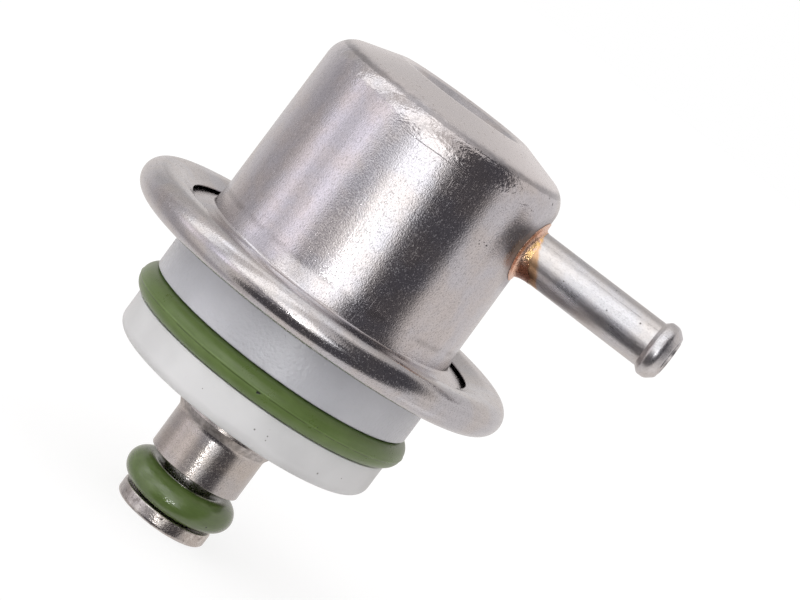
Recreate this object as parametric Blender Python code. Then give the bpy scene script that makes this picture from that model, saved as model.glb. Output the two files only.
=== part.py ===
"""Fuel pressure regulator, return type, that plugs into a fuel rail.

The regulator stands on the end of its return fitting, with the spring can up
and the hose nipple towards +X. All sizes are in millimetres in this file and
become metres when the meshes are made. Heights are measured from the
fitting's end, and radii from the regulator's axis.
"""
import math

import bmesh
import bpy
from mathutils import Matrix, Vector

MM = 0.001

# Roundness of the turned pieces
BODY_STEPS = 40
CLOTH_STEPS = 32
CORE_STEPS = 24
FINE_STEPS = 20
ARC_STEP = math.radians(30)
SMALL_EDGE = 0.30

# Clearances between pieces that seat on each other
SEAT_GAP = 0.05
PRESS_GAP = 0.05
RUNNING_GAP = 0.10

# Small radii and chamfers
KNIFE_R = 0.10
BREAK_R = 0.15
GROOVE_EDGE_R = 0.20
ROLLED_EDGE_R = 0.30
CUTTER_OVER = 1.00

# Return fitting, turned from bar
FITTING_R = 4.95
FITTING_BORE_R = 1.60
FITTING_BORE_CHAMFER = 0.35
END_DISC_H = 1.55
END_EDGE_R = 0.40
GROOVE_H = 4.20
GROOVE_DEPTH = 2.23
SHANK_H = 4.65
FLARE_SHARE = 0.576
FLARE_H = 2.30
FLARE_BEND_R = 2.50
COLLAR_H = 1.75
SPIGOT_STEP = 0.15
SPIGOT_H = 2.10
STEM_WALL = 1.30
SEAT_POCKET_H = 1.20
FITTING_BRAZE_W = 1.10
FITTING_BRAZE_H = 0.80

# Lower housing, drawn from sheet, with the rim rolled over the can's flange
HOUSING_SHEET = 0.80
HOUSING_R = 12.50
HOUSING_EDGE_R = 1.50
FLANGE_ROOT_R = 0.85
RIM_R = 20.95
LIP_SHARE = 0.778
LIP_ROOM = 0.40
INLET_COUNT = 6
INLET_R = 1.50
INLET_INSET = 3.20

# Spring can, drawn from sheet
CAN_SHEET = 0.90
CAN_TOP_Z = 49.85
CAN_SHARE = 0.6444
CAN_DRAFT = 0.22
CAN_FLANGE_GAP = 1.05
CAN_FILLET_R = 3.00
CAN_SHOULDER_R = 2.70
CAN_SHOULDER_DROP = 1.90
LAND_W = 6.98
RECESS_DEPTH = 1.05
RECESS_SLOPE = 0.85
RECESS_EDGE_R = 0.45

# Hose nipple
NIPPLE_R = 2.43
NIPPLE_WALL = 0.83
NIPPLE_REACH = 29.90
NIPPLE_DROP = 7.65
NIPPLE_TAIL = 0.50
BEAD_STEP = 0.43
BEAD_LENGTH = 2.20
BEAD_RISE = 0.55
BEAD_CROWN = 0.25
BEAD_EDGE_R = 0.45
BEAD_BACK_R = 0.90
MOUTH_STEP = 0.46
MOUTH_EDGE_R = 0.18
BRAZE_ON_CAN = 0.95
BRAZE_ON_TUBE = 1.45
BRAZE_EDGE = 0.10

# Rubber and plastic rings
RING_GAP = 0.10
UPPER_RING_WALL = 1.90
UPPER_RING_H = 4.84
LARGE_SECTION = 2.86
LOWER_RING_WALL = 1.80
LOWER_RING_EDGE_R = 1.25
LOWER_RING_H = 3.80
STRAINER_FLOOR = 0.90
HUB_CLEARANCE = 0.90
HUB_WALL = 1.00
WINDOW_COUNT = 6
WINDOW_INSET = 0.40
WINDOW_RIB = 1.60
MESH_SHEET = 0.15
SMALL_STANDING = 1.03
SMALL_HEIGHT = 3.50
SMALL_LIFT = 0.32

# Diaphragm and what it carries
DIAPHRAGM_SHEET = 0.55
LOOP_WALL_GAP = 0.60
LOOP_GAP = 0.20
LOOP_W = 1.80
LOOP_H = 1.90
PLATE_SHEET = 0.65
PLATE_STEP = 0.20
CUP_SHEET = 0.75
CUP_WALL_H = 3.10
HOLDER_WALL = 0.50
HOLDER_SKIRT_W = 2.65
HOLDER_SKIRT_H = 1.55
RIVET_HEAD_W = 1.15
RIVET_HEAD_H = 0.80

# Valve
BALL_R = 1.20
BALL_DROP = 1.15
SOCKET_ROOM = 0.90
SOCKET_CONE = 0.30
RETAINER_SHEET = 0.35
RETAINER_WALL = 0.75
RETAINER_BORE_SHARE = 0.95
RETAINER_SPLIT = 0.60
VALVE_STEP = 0.40
VALVE_SHEET = 0.60
VALVE_NECK_SHARE = 2 / 3
VALVE_HANG = 0.90
VALVE_REST_GAP = 0.25
SEAT_R = 2.90
SEAT_LAND_STEP = 0.50
SEAT_CHAMFER = 0.35
SEAT_STANDING = 0.55

# Springs
SPRING_WIRE_R = 0.80
SPRING_TURNS = 6.5
COIL_GAP = 0.12
BALL_SPRING_SHARE = 0.65
BALL_SPRING_WIRE_R = 0.14
BALL_SPRING_TURNS = 2.5
BALL_SPRING_GAP = 0.02

# Heights of the fitting and of the rings stacked on the housing
GROOVE_TOP_Z = END_DISC_H + GROOVE_H
SHANK_TOP_Z = GROOVE_TOP_Z + SHANK_H
FLARE_TOP_Z = SHANK_TOP_Z + FLARE_H
COLLAR_TOP_Z = FLARE_TOP_Z + COLLAR_H
SPIGOT_TOP_Z = COLLAR_TOP_Z + SPIGOT_H
HOUSING_FLOOR_Z = COLLAR_TOP_Z + SEAT_GAP * 2
FLOOR_TOP_Z = HOUSING_FLOOR_Z + HOUSING_SHEET
MESH_Z = HOUSING_FLOOR_Z - SEAT_GAP - MESH_SHEET
LOWER_RING_Z = MESH_Z - SEAT_GAP - STRAINER_FLOOR
LOWER_RING_TOP_Z = LOWER_RING_Z + LOWER_RING_H
LARGE_Z = LOWER_RING_TOP_Z + RING_GAP + LARGE_SECTION / 2
UPPER_RING_Z = LARGE_Z + LARGE_SECTION / 2 + RING_GAP
FLANGE_Z = UPPER_RING_Z + UPPER_RING_H + RING_GAP
SMALL_Z = END_DISC_H + SMALL_LIFT + SMALL_HEIGHT / 2

# Heights of the clamped rim, the can and the nipple
DIAPHRAGM_Z = FLANGE_Z + HOUSING_SHEET + SEAT_GAP
DIAPHRAGM_TOP_Z = DIAPHRAGM_Z + DIAPHRAGM_SHEET
CAN_FLANGE_Z = DIAPHRAGM_TOP_Z + SEAT_GAP
CAN_FLANGE_TOP_Z = CAN_FLANGE_Z + CAN_SHEET
RIM_TOP_Z = CAN_FLANGE_TOP_Z + LIP_ROOM + HOUSING_SHEET
CAN_SHOULDER_Z = CAN_TOP_Z - CAN_SHOULDER_DROP
NIPPLE_Z = CAN_TOP_Z - NIPPLE_DROP

# Heights of what the diaphragm carries, and of the valve under it
LOWER_PLATE_Z = DIAPHRAGM_Z - SEAT_GAP - PLATE_SHEET
UPPER_PLATE_Z = DIAPHRAGM_TOP_Z + SEAT_GAP
CUP_Z = UPPER_PLATE_Z + PLATE_SHEET + SEAT_GAP
CUP_FLOOR_Z = CUP_Z + CUP_SHEET
HEAD_Z = CUP_FLOOR_Z + SEAT_GAP
SKIRT_TOP_Z = LOWER_PLATE_Z - SEAT_GAP
SKIRT_Z = SKIRT_TOP_Z - HOLDER_SKIRT_H
BALL_Z = DIAPHRAGM_Z - BALL_DROP
SOCKET_TOP_Z = BALL_Z + BALL_R + SOCKET_ROOM
VALVE_Z = BALL_Z - BALL_R - VALVE_HANG
SEAT_TOP_Z = VALVE_Z - VALVE_REST_GAP
FITTING_TOP_Z = SEAT_TOP_Z - SEAT_STANDING

# Radii of the fitting and of the rings round the housing
NECK_R = FITTING_R - GROOVE_DEPTH
SMALL_OUTER_R = FITTING_R + SMALL_STANDING
SPIGOT_R = FITTING_R + SPIGOT_STEP
STEM_R = SEAT_R + STEM_WALL
SEAT_LAND_R = SEAT_R - SEAT_LAND_STEP
FLARE_R = HOUSING_R * FLARE_SHARE
STRAINER_HUB_R = FLARE_R + HUB_CLEARANCE
WINDOW_INNER_R = STRAINER_HUB_R + HUB_WALL
WINDOW_OUTER_R = HOUSING_R - WINDOW_INSET
INLET_PITCH_R = HOUSING_R - INLET_INSET
UPPER_RING_R = HOUSING_R + RING_GAP + UPPER_RING_WALL
LOWER_RING_R = HOUSING_R + RING_GAP + LOWER_RING_WALL
LARGE_OUTER_R = HOUSING_R + SEAT_GAP + LARGE_SECTION

# Radii of the can, the rim and the nipple
LIP_R = RIM_R * LIP_SHARE
CAN_R = RIM_R * CAN_SHARE
CAN_TOP_R = CAN_R - CAN_DRAFT
RECESS_R = CAN_TOP_R - LAND_W
CAN_FLANGE_R = RIM_R - HOUSING_SHEET - CAN_FLANGE_GAP
NIPPLE_BORE_R = NIPPLE_R - NIPPLE_WALL
BEAD_R = NIPPLE_R + BEAD_STEP
MOUTH_R = NIPPLE_R - MOUTH_STEP
AXIS_X = -(NIPPLE_REACH - RIM_R) / 2

# Radii of what the diaphragm carries, from the can's wall inwards
LOOP_OUTER_R = CAN_R - CAN_SHEET - DIAPHRAGM_SHEET - LOOP_WALL_GAP
LOOP_INNER_R = LOOP_OUTER_R - LOOP_W
UPPER_PLATE_R = LOOP_INNER_R - DIAPHRAGM_SHEET - LOOP_GAP
LOWER_PLATE_R = UPPER_PLATE_R - PLATE_STEP
CUP_WALL_R = UPPER_PLATE_R
SPRING_MEAN_R = CUP_WALL_R - CUP_SHEET - 2 * RUNNING_GAP - SPRING_WIRE_R
RETAINER_R = BALL_R + RETAINER_WALL
RETAINER_BORE_R = BALL_R * RETAINER_BORE_SHARE
RETAINER_TOP_Z = BALL_Z - math.sqrt((BALL_R + PRESS_GAP) ** 2 - RETAINER_BORE_R ** 2)
HOLDER_SHANK_R = RETAINER_R + HOLDER_WALL
HOLDER_SKIRT_R = RETAINER_R + HOLDER_SKIRT_W
RIVET_HEAD_R = HOLDER_SHANK_R + RIVET_HEAD_W
VALVE_R = SEAT_R + VALVE_STEP
VALVE_NECK_R = BALL_R * VALVE_NECK_SHARE
BALL_SPRING_MEAN_R = BALL_R * BALL_SPRING_SHARE


def rounded_path(corners, arc_step=ARC_STEP):
    """Points along straight lines through the corners (r, z, radius), with an arc at each radius.

    A radius under SMALL_EDGE becomes a chamfer of the same reach.
    """
    points = []
    for index, (r, z, radius) in enumerate(corners):
        here = Vector((r, z))
        if radius <= 0:
            points.append(here)
            continue
        before = (Vector(corners[index - 1][:2]) - here).normalized()
        after = (Vector(corners[index + 1][:2]) - here).normalized()
        half = before.angle(after) / 2
        reach = radius / math.tan(half)
        centre = here + (before + after).normalized() * (radius / math.sin(half))
        start = here + before * reach - centre
        end = here + after * reach - centre
        sweep = start.angle(end)
        turn = 1 if start.x * end.y - start.y * end.x > 0 else -1
        steps = 1 if radius < SMALL_EDGE else max(2, math.ceil(sweep / arc_step - 0.01))
        for step in range(steps + 1):
            rotation = Matrix.Rotation(turn * sweep * step / steps, 2)
            points.append(centre + rotation @ start)
    return points


def offset_path(path, distance):
    """The path moved sideways by the distance, to its left for a positive value."""
    normals = []
    for first, second in zip(path, path[1:]):
        along = (second - first).normalized()
        normals.append(Vector((-along.y, along.x)))
    moved = []
    for index, point in enumerate(path):
        one = normals[max(index - 1, 0)]
        two = normals[min(index, len(normals) - 1)]
        moved.append(point + (one + two) * (distance / (1 + one.dot(two))))
    return moved


def sheet_section(path, thickness):
    """Closed section of a sheet that follows the path, with its thickness to the path's left."""
    return path + list(reversed(offset_path(path, thickness)))


def arc_section(centre_r, centre_z, half_r, half_z, steps):
    """Closed round or oval section."""
    points = []
    for step in range(steps):
        angle = 2 * math.pi * step / steps
        points.append(Vector((centre_r + half_r * math.cos(angle), centre_z + half_z * math.sin(angle))))
    return points


def make_material(name, colour, roughness, metallic):
    material = bpy.data.materials.new(name)
    material.use_nodes = True
    shader = material.node_tree.nodes["Principled BSDF"]
    shader.inputs["Base Color"].default_value = (*colour, 1)
    shader.inputs["Roughness"].default_value = roughness
    shader.inputs["Metallic"].default_value = metallic
    material.diffuse_color = (*colour, 1)
    return material


def add_object(name, mesh_data, material, parent):
    """Welds, orients and shades the mesh, and links it as one named object."""
    bmesh.ops.remove_doubles(mesh_data, verts=mesh_data.verts, dist=1e-7)
    bmesh.ops.dissolve_degenerate(mesh_data, edges=mesh_data.edges, dist=1e-8)
    bmesh.ops.recalc_face_normals(mesh_data, faces=mesh_data.faces)
    mesh = bpy.data.meshes.new(name)
    mesh_data.to_mesh(mesh)
    mesh_data.free()
    obj = bpy.data.objects.new(name, mesh)
    bpy.context.collection.objects.link(obj)
    obj.data.materials.append(material)
    obj.parent = parent
    mesh.shade_smooth()
    mesh.set_sharp_from_angle(angle=math.radians(33))
    return obj


def turned_mesh(section, steps):
    """Mesh of the section (r, z) turned once round the Z axis."""
    mesh_data = bmesh.new()
    verts = [mesh_data.verts.new((point.x * MM, 0, point.y * MM)) for point in section]
    on_axis = section[0].x < 1e-6 and section[-1].x < 1e-6
    pairs = list(zip(verts, verts[1:]))
    if not on_axis:
        pairs.append((verts[-1], verts[0]))
    edges = [mesh_data.edges.new(pair) for pair in pairs]
    bmesh.ops.spin(
        mesh_data,
        geom=verts + edges,
        cent=(0, 0, 0),
        axis=(0, 0, 1),
        angle=2 * math.pi,
        steps=steps,
        use_merge=True,
        use_duplicate=False,
    )
    return mesh_data


def turned(name, section, steps, material, parent, origin_z=0.0):
    """Named turned piece whose own origin lies on the axis at origin_z."""
    moved = [Vector((point.x, point.y - origin_z)) for point in section]
    return add_object(name, turned_mesh(moved, steps), material, parent)


def cut(target, cutter):
    """Subtracts the cutter, which stays in the file as a hidden wire object."""
    cutter.hide_render = True
    cutter.display_type = "WIRE"
    modifier = target.modifiers.new("cut_" + cutter.name, "BOOLEAN")
    modifier.operation = "DIFFERENCE"
    modifier.solver = "EXACT"
    modifier.object = cutter
    bpy.context.view_layer.update()
    graph = bpy.context.evaluated_depsgraph_get()
    result = bpy.data.meshes.new_from_object(target.evaluated_get(graph))
    target.modifiers.clear()
    target.data = result
    result.set_sharp_from_angle(angle=math.radians(33))
    bpy.data.objects.remove(cutter)


def rod_cutter(name, places, radius, z_low, z_high, steps):
    """Upright rods at the places (x, y), for drilling."""
    mesh_data = bmesh.new()
    for x, y in places:
        middle = Matrix.Translation((x * MM, y * MM, (z_low + z_high) / 2 * MM))
        bmesh.ops.create_cone(
            mesh_data,
            cap_ends=True,
            segments=steps,
            radius1=radius * MM,
            radius2=radius * MM,
            depth=(z_high - z_low) * MM,
            matrix=middle,
        )
    mesh = bpy.data.meshes.new(name)
    mesh_data.to_mesh(mesh)
    mesh_data.free()
    obj = bpy.data.objects.new(name, mesh)
    bpy.context.collection.objects.link(obj)
    return obj


def sector_cutter(name, count, inner_r, outer_r, rib, z_low, z_high):
    """Ring sectors parted by straight-sided ribs, for windows."""
    mesh_data = bmesh.new()
    steps = 5
    for index in range(count):
        middle = 2 * math.pi * (index + 0.5) / count
        corners = []
        for radius, order in ((inner_r, 1), (outer_r, -1)):
            half = math.pi / count - math.asin(rib / 2 / radius)
            for step in range(steps + 1):
                angle = middle + order * half * (2 * step / steps - 1)
                corners.append((radius * math.cos(angle), radius * math.sin(angle)))
        low = [mesh_data.verts.new((x * MM, y * MM, z_low * MM)) for x, y in corners]
        face = mesh_data.faces.new(low)
        grown = bmesh.ops.extrude_face_region(mesh_data, geom=[face])
        tops = [item for item in grown["geom"] if isinstance(item, bmesh.types.BMVert)]
        bmesh.ops.translate(mesh_data, verts=tops, vec=(0, 0, (z_high - z_low) * MM))
    bmesh.ops.recalc_face_normals(mesh_data, faces=mesh_data.faces)
    mesh = bpy.data.meshes.new(name)
    mesh_data.to_mesh(mesh)
    mesh_data.free()
    obj = bpy.data.objects.new(name, mesh)
    bpy.context.collection.objects.link(obj)
    return obj


def coil(name, mean_r, wire_r, turns, z_low, z_high, end_turns, turn_steps, wire_steps, material, parent):
    """Compression spring with closed ends, ground flat at z_low and z_high."""
    diameter = 2 * wire_r
    end_rise = (diameter + COIL_GAP) * end_turns
    start_z = z_low + wire_r * 0.55
    stop_z = z_high - wire_r * 0.55
    active_rise = stop_z - start_z - 2 * end_rise
    count = int(turns * turn_steps)
    mesh_data = bmesh.new()
    rings = []
    for index in range(count + 1):
        done = turns * index / count
        if done < end_turns:
            height = start_z + end_rise * done / end_turns
        elif done > turns - end_turns:
            height = stop_z - end_rise * (turns - done) / end_turns
        else:
            height = start_z + end_rise + active_rise * (done - end_turns) / (turns - 2 * end_turns)
        angle = 2 * math.pi * done
        ring = []
        for side in range(wire_steps):
            around = 2 * math.pi * (side + 0.5) / wire_steps
            radius = mean_r + wire_r * math.cos(around)
            level = min(max(height + wire_r * math.sin(around), z_low), z_high)
            place = (radius * math.cos(angle) * MM, radius * math.sin(angle) * MM, level * MM)
            ring.append(mesh_data.verts.new(place))
        rings.append(ring)
    for first, second in zip(rings, rings[1:]):
        for side in range(wire_steps):
            other = (side + 1) % wire_steps
            mesh_data.faces.new((first[side], first[other], second[other], second[side]))
    mesh_data.faces.new(rings[0])
    mesh_data.faces.new(list(reversed(rings[-1])))
    return add_object(name, mesh_data, material, parent)


def can_corners():
    """Outside of the can from its flange's edge up to the axis."""
    floor_r = RECESS_R - RECESS_SLOPE
    floor_z = CAN_TOP_Z - RECESS_DEPTH
    return [
        (CAN_FLANGE_R, CAN_FLANGE_TOP_Z, 0),
        (CAN_R, CAN_FLANGE_TOP_Z, CAN_FILLET_R),
        (CAN_TOP_R, CAN_SHOULDER_Z, CAN_SHOULDER_R),
        (RECESS_R, CAN_TOP_Z, RECESS_EDGE_R),
        (floor_r, floor_z, RECESS_EDGE_R),
        (0, floor_z, 0),
    ]


def can_radius(z):
    """Outside radius of the can's wall, which is drawn with a slight draft."""
    share = (z - CAN_FLANGE_TOP_Z) / (CAN_SHOULDER_Z - CAN_FLANGE_TOP_Z)
    return CAN_R + (CAN_TOP_R - CAN_R) * share


def make_spring_can(material, parent):
    section = sheet_section(rounded_path(can_corners()), CAN_SHEET)
    can = turned("spring_can", section, BODY_STEPS, material, parent)
    bore = rod_cutter("nipple_hole", [(0, 0)], NIPPLE_R + PRESS_GAP, 0, CAN_R, FINE_STEPS)
    bore.data.transform(Matrix.Rotation(math.pi / 2, 4, "Y"))
    bore.data.transform(Matrix.Translation((CAN_R / 2 * MM, 0, NIPPLE_Z * MM)))
    bore.parent = parent
    cut(can, bore)
    return can


def make_hose_nipple(material, parent):
    """Tube with a rolled bead at its mouth, modelled upright and laid along +X."""
    tail = can_radius(NIPPLE_Z) - CAN_SHEET - NIPPLE_TAIL
    bead_foot = NIPPLE_REACH - BEAD_LENGTH
    middle = NIPPLE_REACH - BEAD_LENGTH * 0.55
    section = rounded_path([
        (NIPPLE_BORE_R, tail, 0),
        (NIPPLE_R, tail, 0),
        (NIPPLE_R, bead_foot, BEAD_CROWN),
        (BEAD_R, bead_foot + BEAD_RISE, BEAD_EDGE_R),
        (BEAD_R, middle + BEAD_CROWN, BEAD_BACK_R),
        (MOUTH_R, NIPPLE_REACH, MOUTH_EDGE_R),
        (NIPPLE_BORE_R, NIPPLE_REACH, 0),
    ])
    nipple = turned("hose_nipple", section, FINE_STEPS, material, parent)
    nipple.data.transform(Matrix.Rotation(math.pi / 2, 4, "Y"))
    nipple.location = (0, 0, NIPPLE_Z * MM)
    return nipple


def make_nipple_braze(material, parent):
    """Copper fillet that follows the joint line between the tube and the can's round wall."""
    mesh_data = bmesh.new()
    rings = []
    inner_r = NIPPLE_R + PRESS_GAP
    for step in range(FINE_STEPS):
        angle = 2 * math.pi * (step + 0.5) / FINE_STEPS
        across, up = math.cos(angle), math.sin(angle)

        def wall_x(radius):
            wall = can_radius(NIPPLE_Z + radius * up) + PRESS_GAP
            return math.sqrt(wall ** 2 - (radius * across) ** 2)

        root = wall_x(inner_r)
        ring = []
        for radius, x in (
            (inner_r, root),
            (inner_r + BRAZE_ON_CAN, wall_x(inner_r + BRAZE_ON_CAN)),
            (inner_r + BRAZE_ON_CAN * 0.95, wall_x(inner_r + BRAZE_ON_CAN) + BRAZE_EDGE),
            (inner_r + BRAZE_ON_CAN * 0.42, root + BRAZE_ON_TUBE * 0.30),
            (inner_r + BRAZE_ON_CAN * 0.14, root + BRAZE_ON_TUBE * 0.70),
            (inner_r + BRAZE_EDGE / 2, root + BRAZE_ON_TUBE),
            (inner_r, root + BRAZE_ON_TUBE),
        ):
            place = (x * MM, radius * across * MM, (NIPPLE_Z + radius * up) * MM)
            ring.append(mesh_data.verts.new(place))
        rings.append(ring)
    for first, second in zip(rings, rings[1:] + rings[:1]):
        for side in range(len(first)):
            other = (side + 1) % len(first)
            mesh_data.faces.new((first[side], first[other], second[other], second[side]))
    return add_object("nipple_braze", mesh_data, material, parent)


def make_lower_housing(material, parent):
    """Drawn cup whose rim is rolled over, with its lip standing above the can's flange."""
    roll = (RIM_TOP_Z - FLANGE_Z) / 2 * 0.999
    path = rounded_path([
        (SPIGOT_R + PRESS_GAP * 2, HOUSING_FLOOR_Z, 0),
        (HOUSING_R, HOUSING_FLOOR_Z, HOUSING_EDGE_R),
        (HOUSING_R, FLANGE_Z, FLANGE_ROOT_R),
        (RIM_R, FLANGE_Z, roll),
        (RIM_R, RIM_TOP_Z, roll),
        (LIP_R, RIM_TOP_Z, 0),
    ])
    housing = turned("lower_housing", sheet_section(path, HOUSING_SHEET), BODY_STEPS, material, parent)
    places = []
    for index in range(INLET_COUNT):
        angle = 2 * math.pi * (index + 0.5) / INLET_COUNT
        places.append((INLET_PITCH_R * math.cos(angle), INLET_PITCH_R * math.sin(angle)))
    low = HOUSING_FLOOR_Z - CUTTER_OVER
    high = FLOOR_TOP_Z + CUTTER_OVER
    drill = rod_cutter("inlet_drill", places, INLET_R, low, high, 10)
    drill.parent = parent
    cut(housing, drill)
    return housing


def make_return_fitting(material, parent):
    """Turned fitting: end disc, seal groove, shank, flare, collar and the stem that holds the seat."""
    pocket_z = SEAT_TOP_Z - SEAT_CHAMFER - SEAT_POCKET_H
    outside = rounded_path([
        (FITTING_BORE_R, FITTING_BORE_CHAMFER, 0),
        (FITTING_BORE_R + FITTING_BORE_CHAMFER, 0, 0),
        (FITTING_R, 0, END_EDGE_R),
        (FITTING_R, END_DISC_H, GROOVE_EDGE_R),
        (NECK_R, END_DISC_H, GROOVE_EDGE_R),
        (NECK_R, GROOVE_TOP_Z, GROOVE_EDGE_R),
        (FITTING_R, GROOVE_TOP_Z, GROOVE_EDGE_R),
        (FITTING_R, SHANK_TOP_Z, 0),
        (FITTING_R + FLARE_H * 0.42, SHANK_TOP_Z + FLARE_H * 0.62, FLARE_BEND_R),
        (FLARE_R, FLARE_TOP_Z, ROLLED_EDGE_R),
        (FLARE_R, COLLAR_TOP_Z, 0),
        (SPIGOT_R, COLLAR_TOP_Z, 0),
        (SPIGOT_R, SPIGOT_TOP_Z, 0),
        (STEM_R, SPIGOT_TOP_Z, 0),
        (STEM_R, FITTING_TOP_Z, ROLLED_EDGE_R),
        (SEAT_R + PRESS_GAP, FITTING_TOP_Z, 0),
        (SEAT_R + PRESS_GAP, pocket_z, 0),
        (FITTING_BORE_R, pocket_z, 0),
    ])
    return turned("return_fitting", outside, CORE_STEPS, material, parent)


def make_fitting_braze(material, parent):
    """Copper fillet round the spigot, inside the housing."""
    inner_r = SPIGOT_R + PRESS_GAP
    floor_z = FLOOR_TOP_Z + SEAT_GAP
    section = [
        Vector((inner_r, floor_z)),
        Vector((inner_r + FITTING_BRAZE_W, floor_z)),
        Vector((inner_r + FITTING_BRAZE_W * 0.36, floor_z + FITTING_BRAZE_H * 0.31)),
        Vector((inner_r + FITTING_BRAZE_W * 0.11, floor_z + FITTING_BRAZE_H)),
        Vector((inner_r, floor_z + FITTING_BRAZE_H)),
    ]
    return turned("fitting_braze", section, CORE_STEPS, material, parent)


def make_valve_seat(material, parent):
    """Hardened seat pressed into the top of the fitting."""
    foot_z = SEAT_TOP_Z - SEAT_CHAMFER - SEAT_POCKET_H + SEAT_GAP
    section = rounded_path([
        (FITTING_BORE_R, foot_z, 0),
        (SEAT_R, foot_z, 0),
        (SEAT_R, SEAT_TOP_Z - SEAT_CHAMFER, 0),
        (SEAT_LAND_R, SEAT_TOP_Z, 0),
        (FITTING_BORE_R, SEAT_TOP_Z, 0),
    ])
    return turned("valve_seat", section, CORE_STEPS, material, parent)


def make_upper_ring(material, parent):
    """Plastic spacer ring between the flange and the large O-ring."""
    section = rounded_path([
        (HOUSING_R + RING_GAP, UPPER_RING_Z, 0),
        (UPPER_RING_R, UPPER_RING_Z, KNIFE_R),
        (UPPER_RING_R, FLANGE_Z - RING_GAP, KNIFE_R),
        (HOUSING_R + RING_GAP + FLANGE_ROOT_R, FLANGE_Z - RING_GAP, 0),
        (HOUSING_R + RING_GAP, FLANGE_Z - RING_GAP - FLANGE_ROOT_R, 0),
    ])
    return turned("upper_ring", section, BODY_STEPS, material, parent)


def make_strainer_frame(material, parent):
    """Lower plastic ring: a cap round the housing's end, with windows for the strainer in its floor."""
    inner_r = HOUSING_R + RING_GAP
    floor_z = LOWER_RING_Z + STRAINER_FLOOR
    section = rounded_path([
        (STRAINER_HUB_R, LOWER_RING_Z, 0),
        (LOWER_RING_R, LOWER_RING_Z, LOWER_RING_EDGE_R),
        (LOWER_RING_R, LOWER_RING_TOP_Z, BREAK_R),
        (inner_r, LOWER_RING_TOP_Z, 0),
        (inner_r, floor_z, 0),
        (STRAINER_HUB_R, floor_z, 0),
    ])
    frame = turned("strainer_frame", section, BODY_STEPS, material, parent)
    windows = sector_cutter(
        "strainer_windows",
        WINDOW_COUNT,
        WINDOW_INNER_R,
        WINDOW_OUTER_R,
        WINDOW_RIB,
        LOWER_RING_Z - CUTTER_OVER,
        floor_z + CUTTER_OVER,
    )
    windows.parent = parent
    cut(frame, windows)
    return frame


def make_strainer_mesh(material, parent):
    """Fuel strainer that lies between the frame's windows and the housing's floor."""
    section = [
        Vector((STRAINER_HUB_R + RING_GAP, MESH_Z)),
        Vector((HOUSING_R - RING_GAP, MESH_Z)),
        Vector((HOUSING_R - RING_GAP, MESH_Z + MESH_SHEET)),
        Vector((STRAINER_HUB_R + RING_GAP, MESH_Z + MESH_SHEET)),
    ]
    return turned("strainer_mesh", section, BODY_STEPS, material, parent)


def make_seals(material, small_material, parent):
    """The two O-rings; the small one is squeezed oval by its deep groove."""
    half = LARGE_SECTION / 2
    large = arc_section(LARGE_OUTER_R - half, LARGE_Z, half, half, 10)
    turned("large_o_ring", large, BODY_STEPS, material, parent)
    half_r = (SMALL_OUTER_R - NECK_R - PRESS_GAP) / 2
    small = arc_section(SMALL_OUTER_R - half_r, SMALL_Z, half_r, SMALL_HEIGHT / 2, 10)
    turned("small_o_ring", small, CORE_STEPS, small_material, parent)


def make_diaphragm(material, parent):
    """Rubber-coated cloth with one loop that lets its middle lift."""
    path = rounded_path([
        (HOLDER_SHANK_R + PRESS_GAP, DIAPHRAGM_Z, 0),
        (LOOP_INNER_R, DIAPHRAGM_Z, GROOVE_EDGE_R),
        (LOOP_INNER_R, DIAPHRAGM_Z + LOOP_H, LOOP_W * 0.48),
        (LOOP_OUTER_R, DIAPHRAGM_Z + LOOP_H, LOOP_W * 0.48),
        (LOOP_OUTER_R, DIAPHRAGM_Z, GROOVE_EDGE_R),
        (CAN_FLANGE_R, DIAPHRAGM_Z, 0),
    ], math.radians(45))
    return turned("diaphragm", sheet_section(path, DIAPHRAGM_SHEET), CLOTH_STEPS, material, parent)


def make_plates(lower_material, upper_material, cup_material, parent):
    """Plates that clamp the diaphragm's middle, and the cup that the main spring stands in."""
    hole = HOLDER_SHANK_R + PRESS_GAP
    lower = rounded_path([
        (hole, LOWER_PLATE_Z, 0),
        (LOWER_PLATE_R, LOWER_PLATE_Z, ROLLED_EDGE_R),
        (LOWER_PLATE_R, LOWER_PLATE_Z + PLATE_SHEET, KNIFE_R),
        (hole, LOWER_PLATE_Z + PLATE_SHEET, 0),
    ])
    turned("lower_plate", lower, CORE_STEPS, lower_material, parent)
    upper = rounded_path([
        (hole, UPPER_PLATE_Z, 0),
        (UPPER_PLATE_R, UPPER_PLATE_Z, KNIFE_R),
        (UPPER_PLATE_R, UPPER_PLATE_Z + PLATE_SHEET, ROLLED_EDGE_R),
        (hole, UPPER_PLATE_Z + PLATE_SHEET, 0),
    ])
    turned("upper_plate", upper, CORE_STEPS, upper_material, parent)
    path = rounded_path([
        (hole, CUP_Z, 0),
        (CUP_WALL_R, CUP_Z, CUP_SHEET + ROLLED_EDGE_R),
        (CUP_WALL_R, CUP_Z + CUP_WALL_H, 0),
    ])
    turned("spring_cup", sheet_section(path, CUP_SHEET), CORE_STEPS, cup_material, parent)


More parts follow.
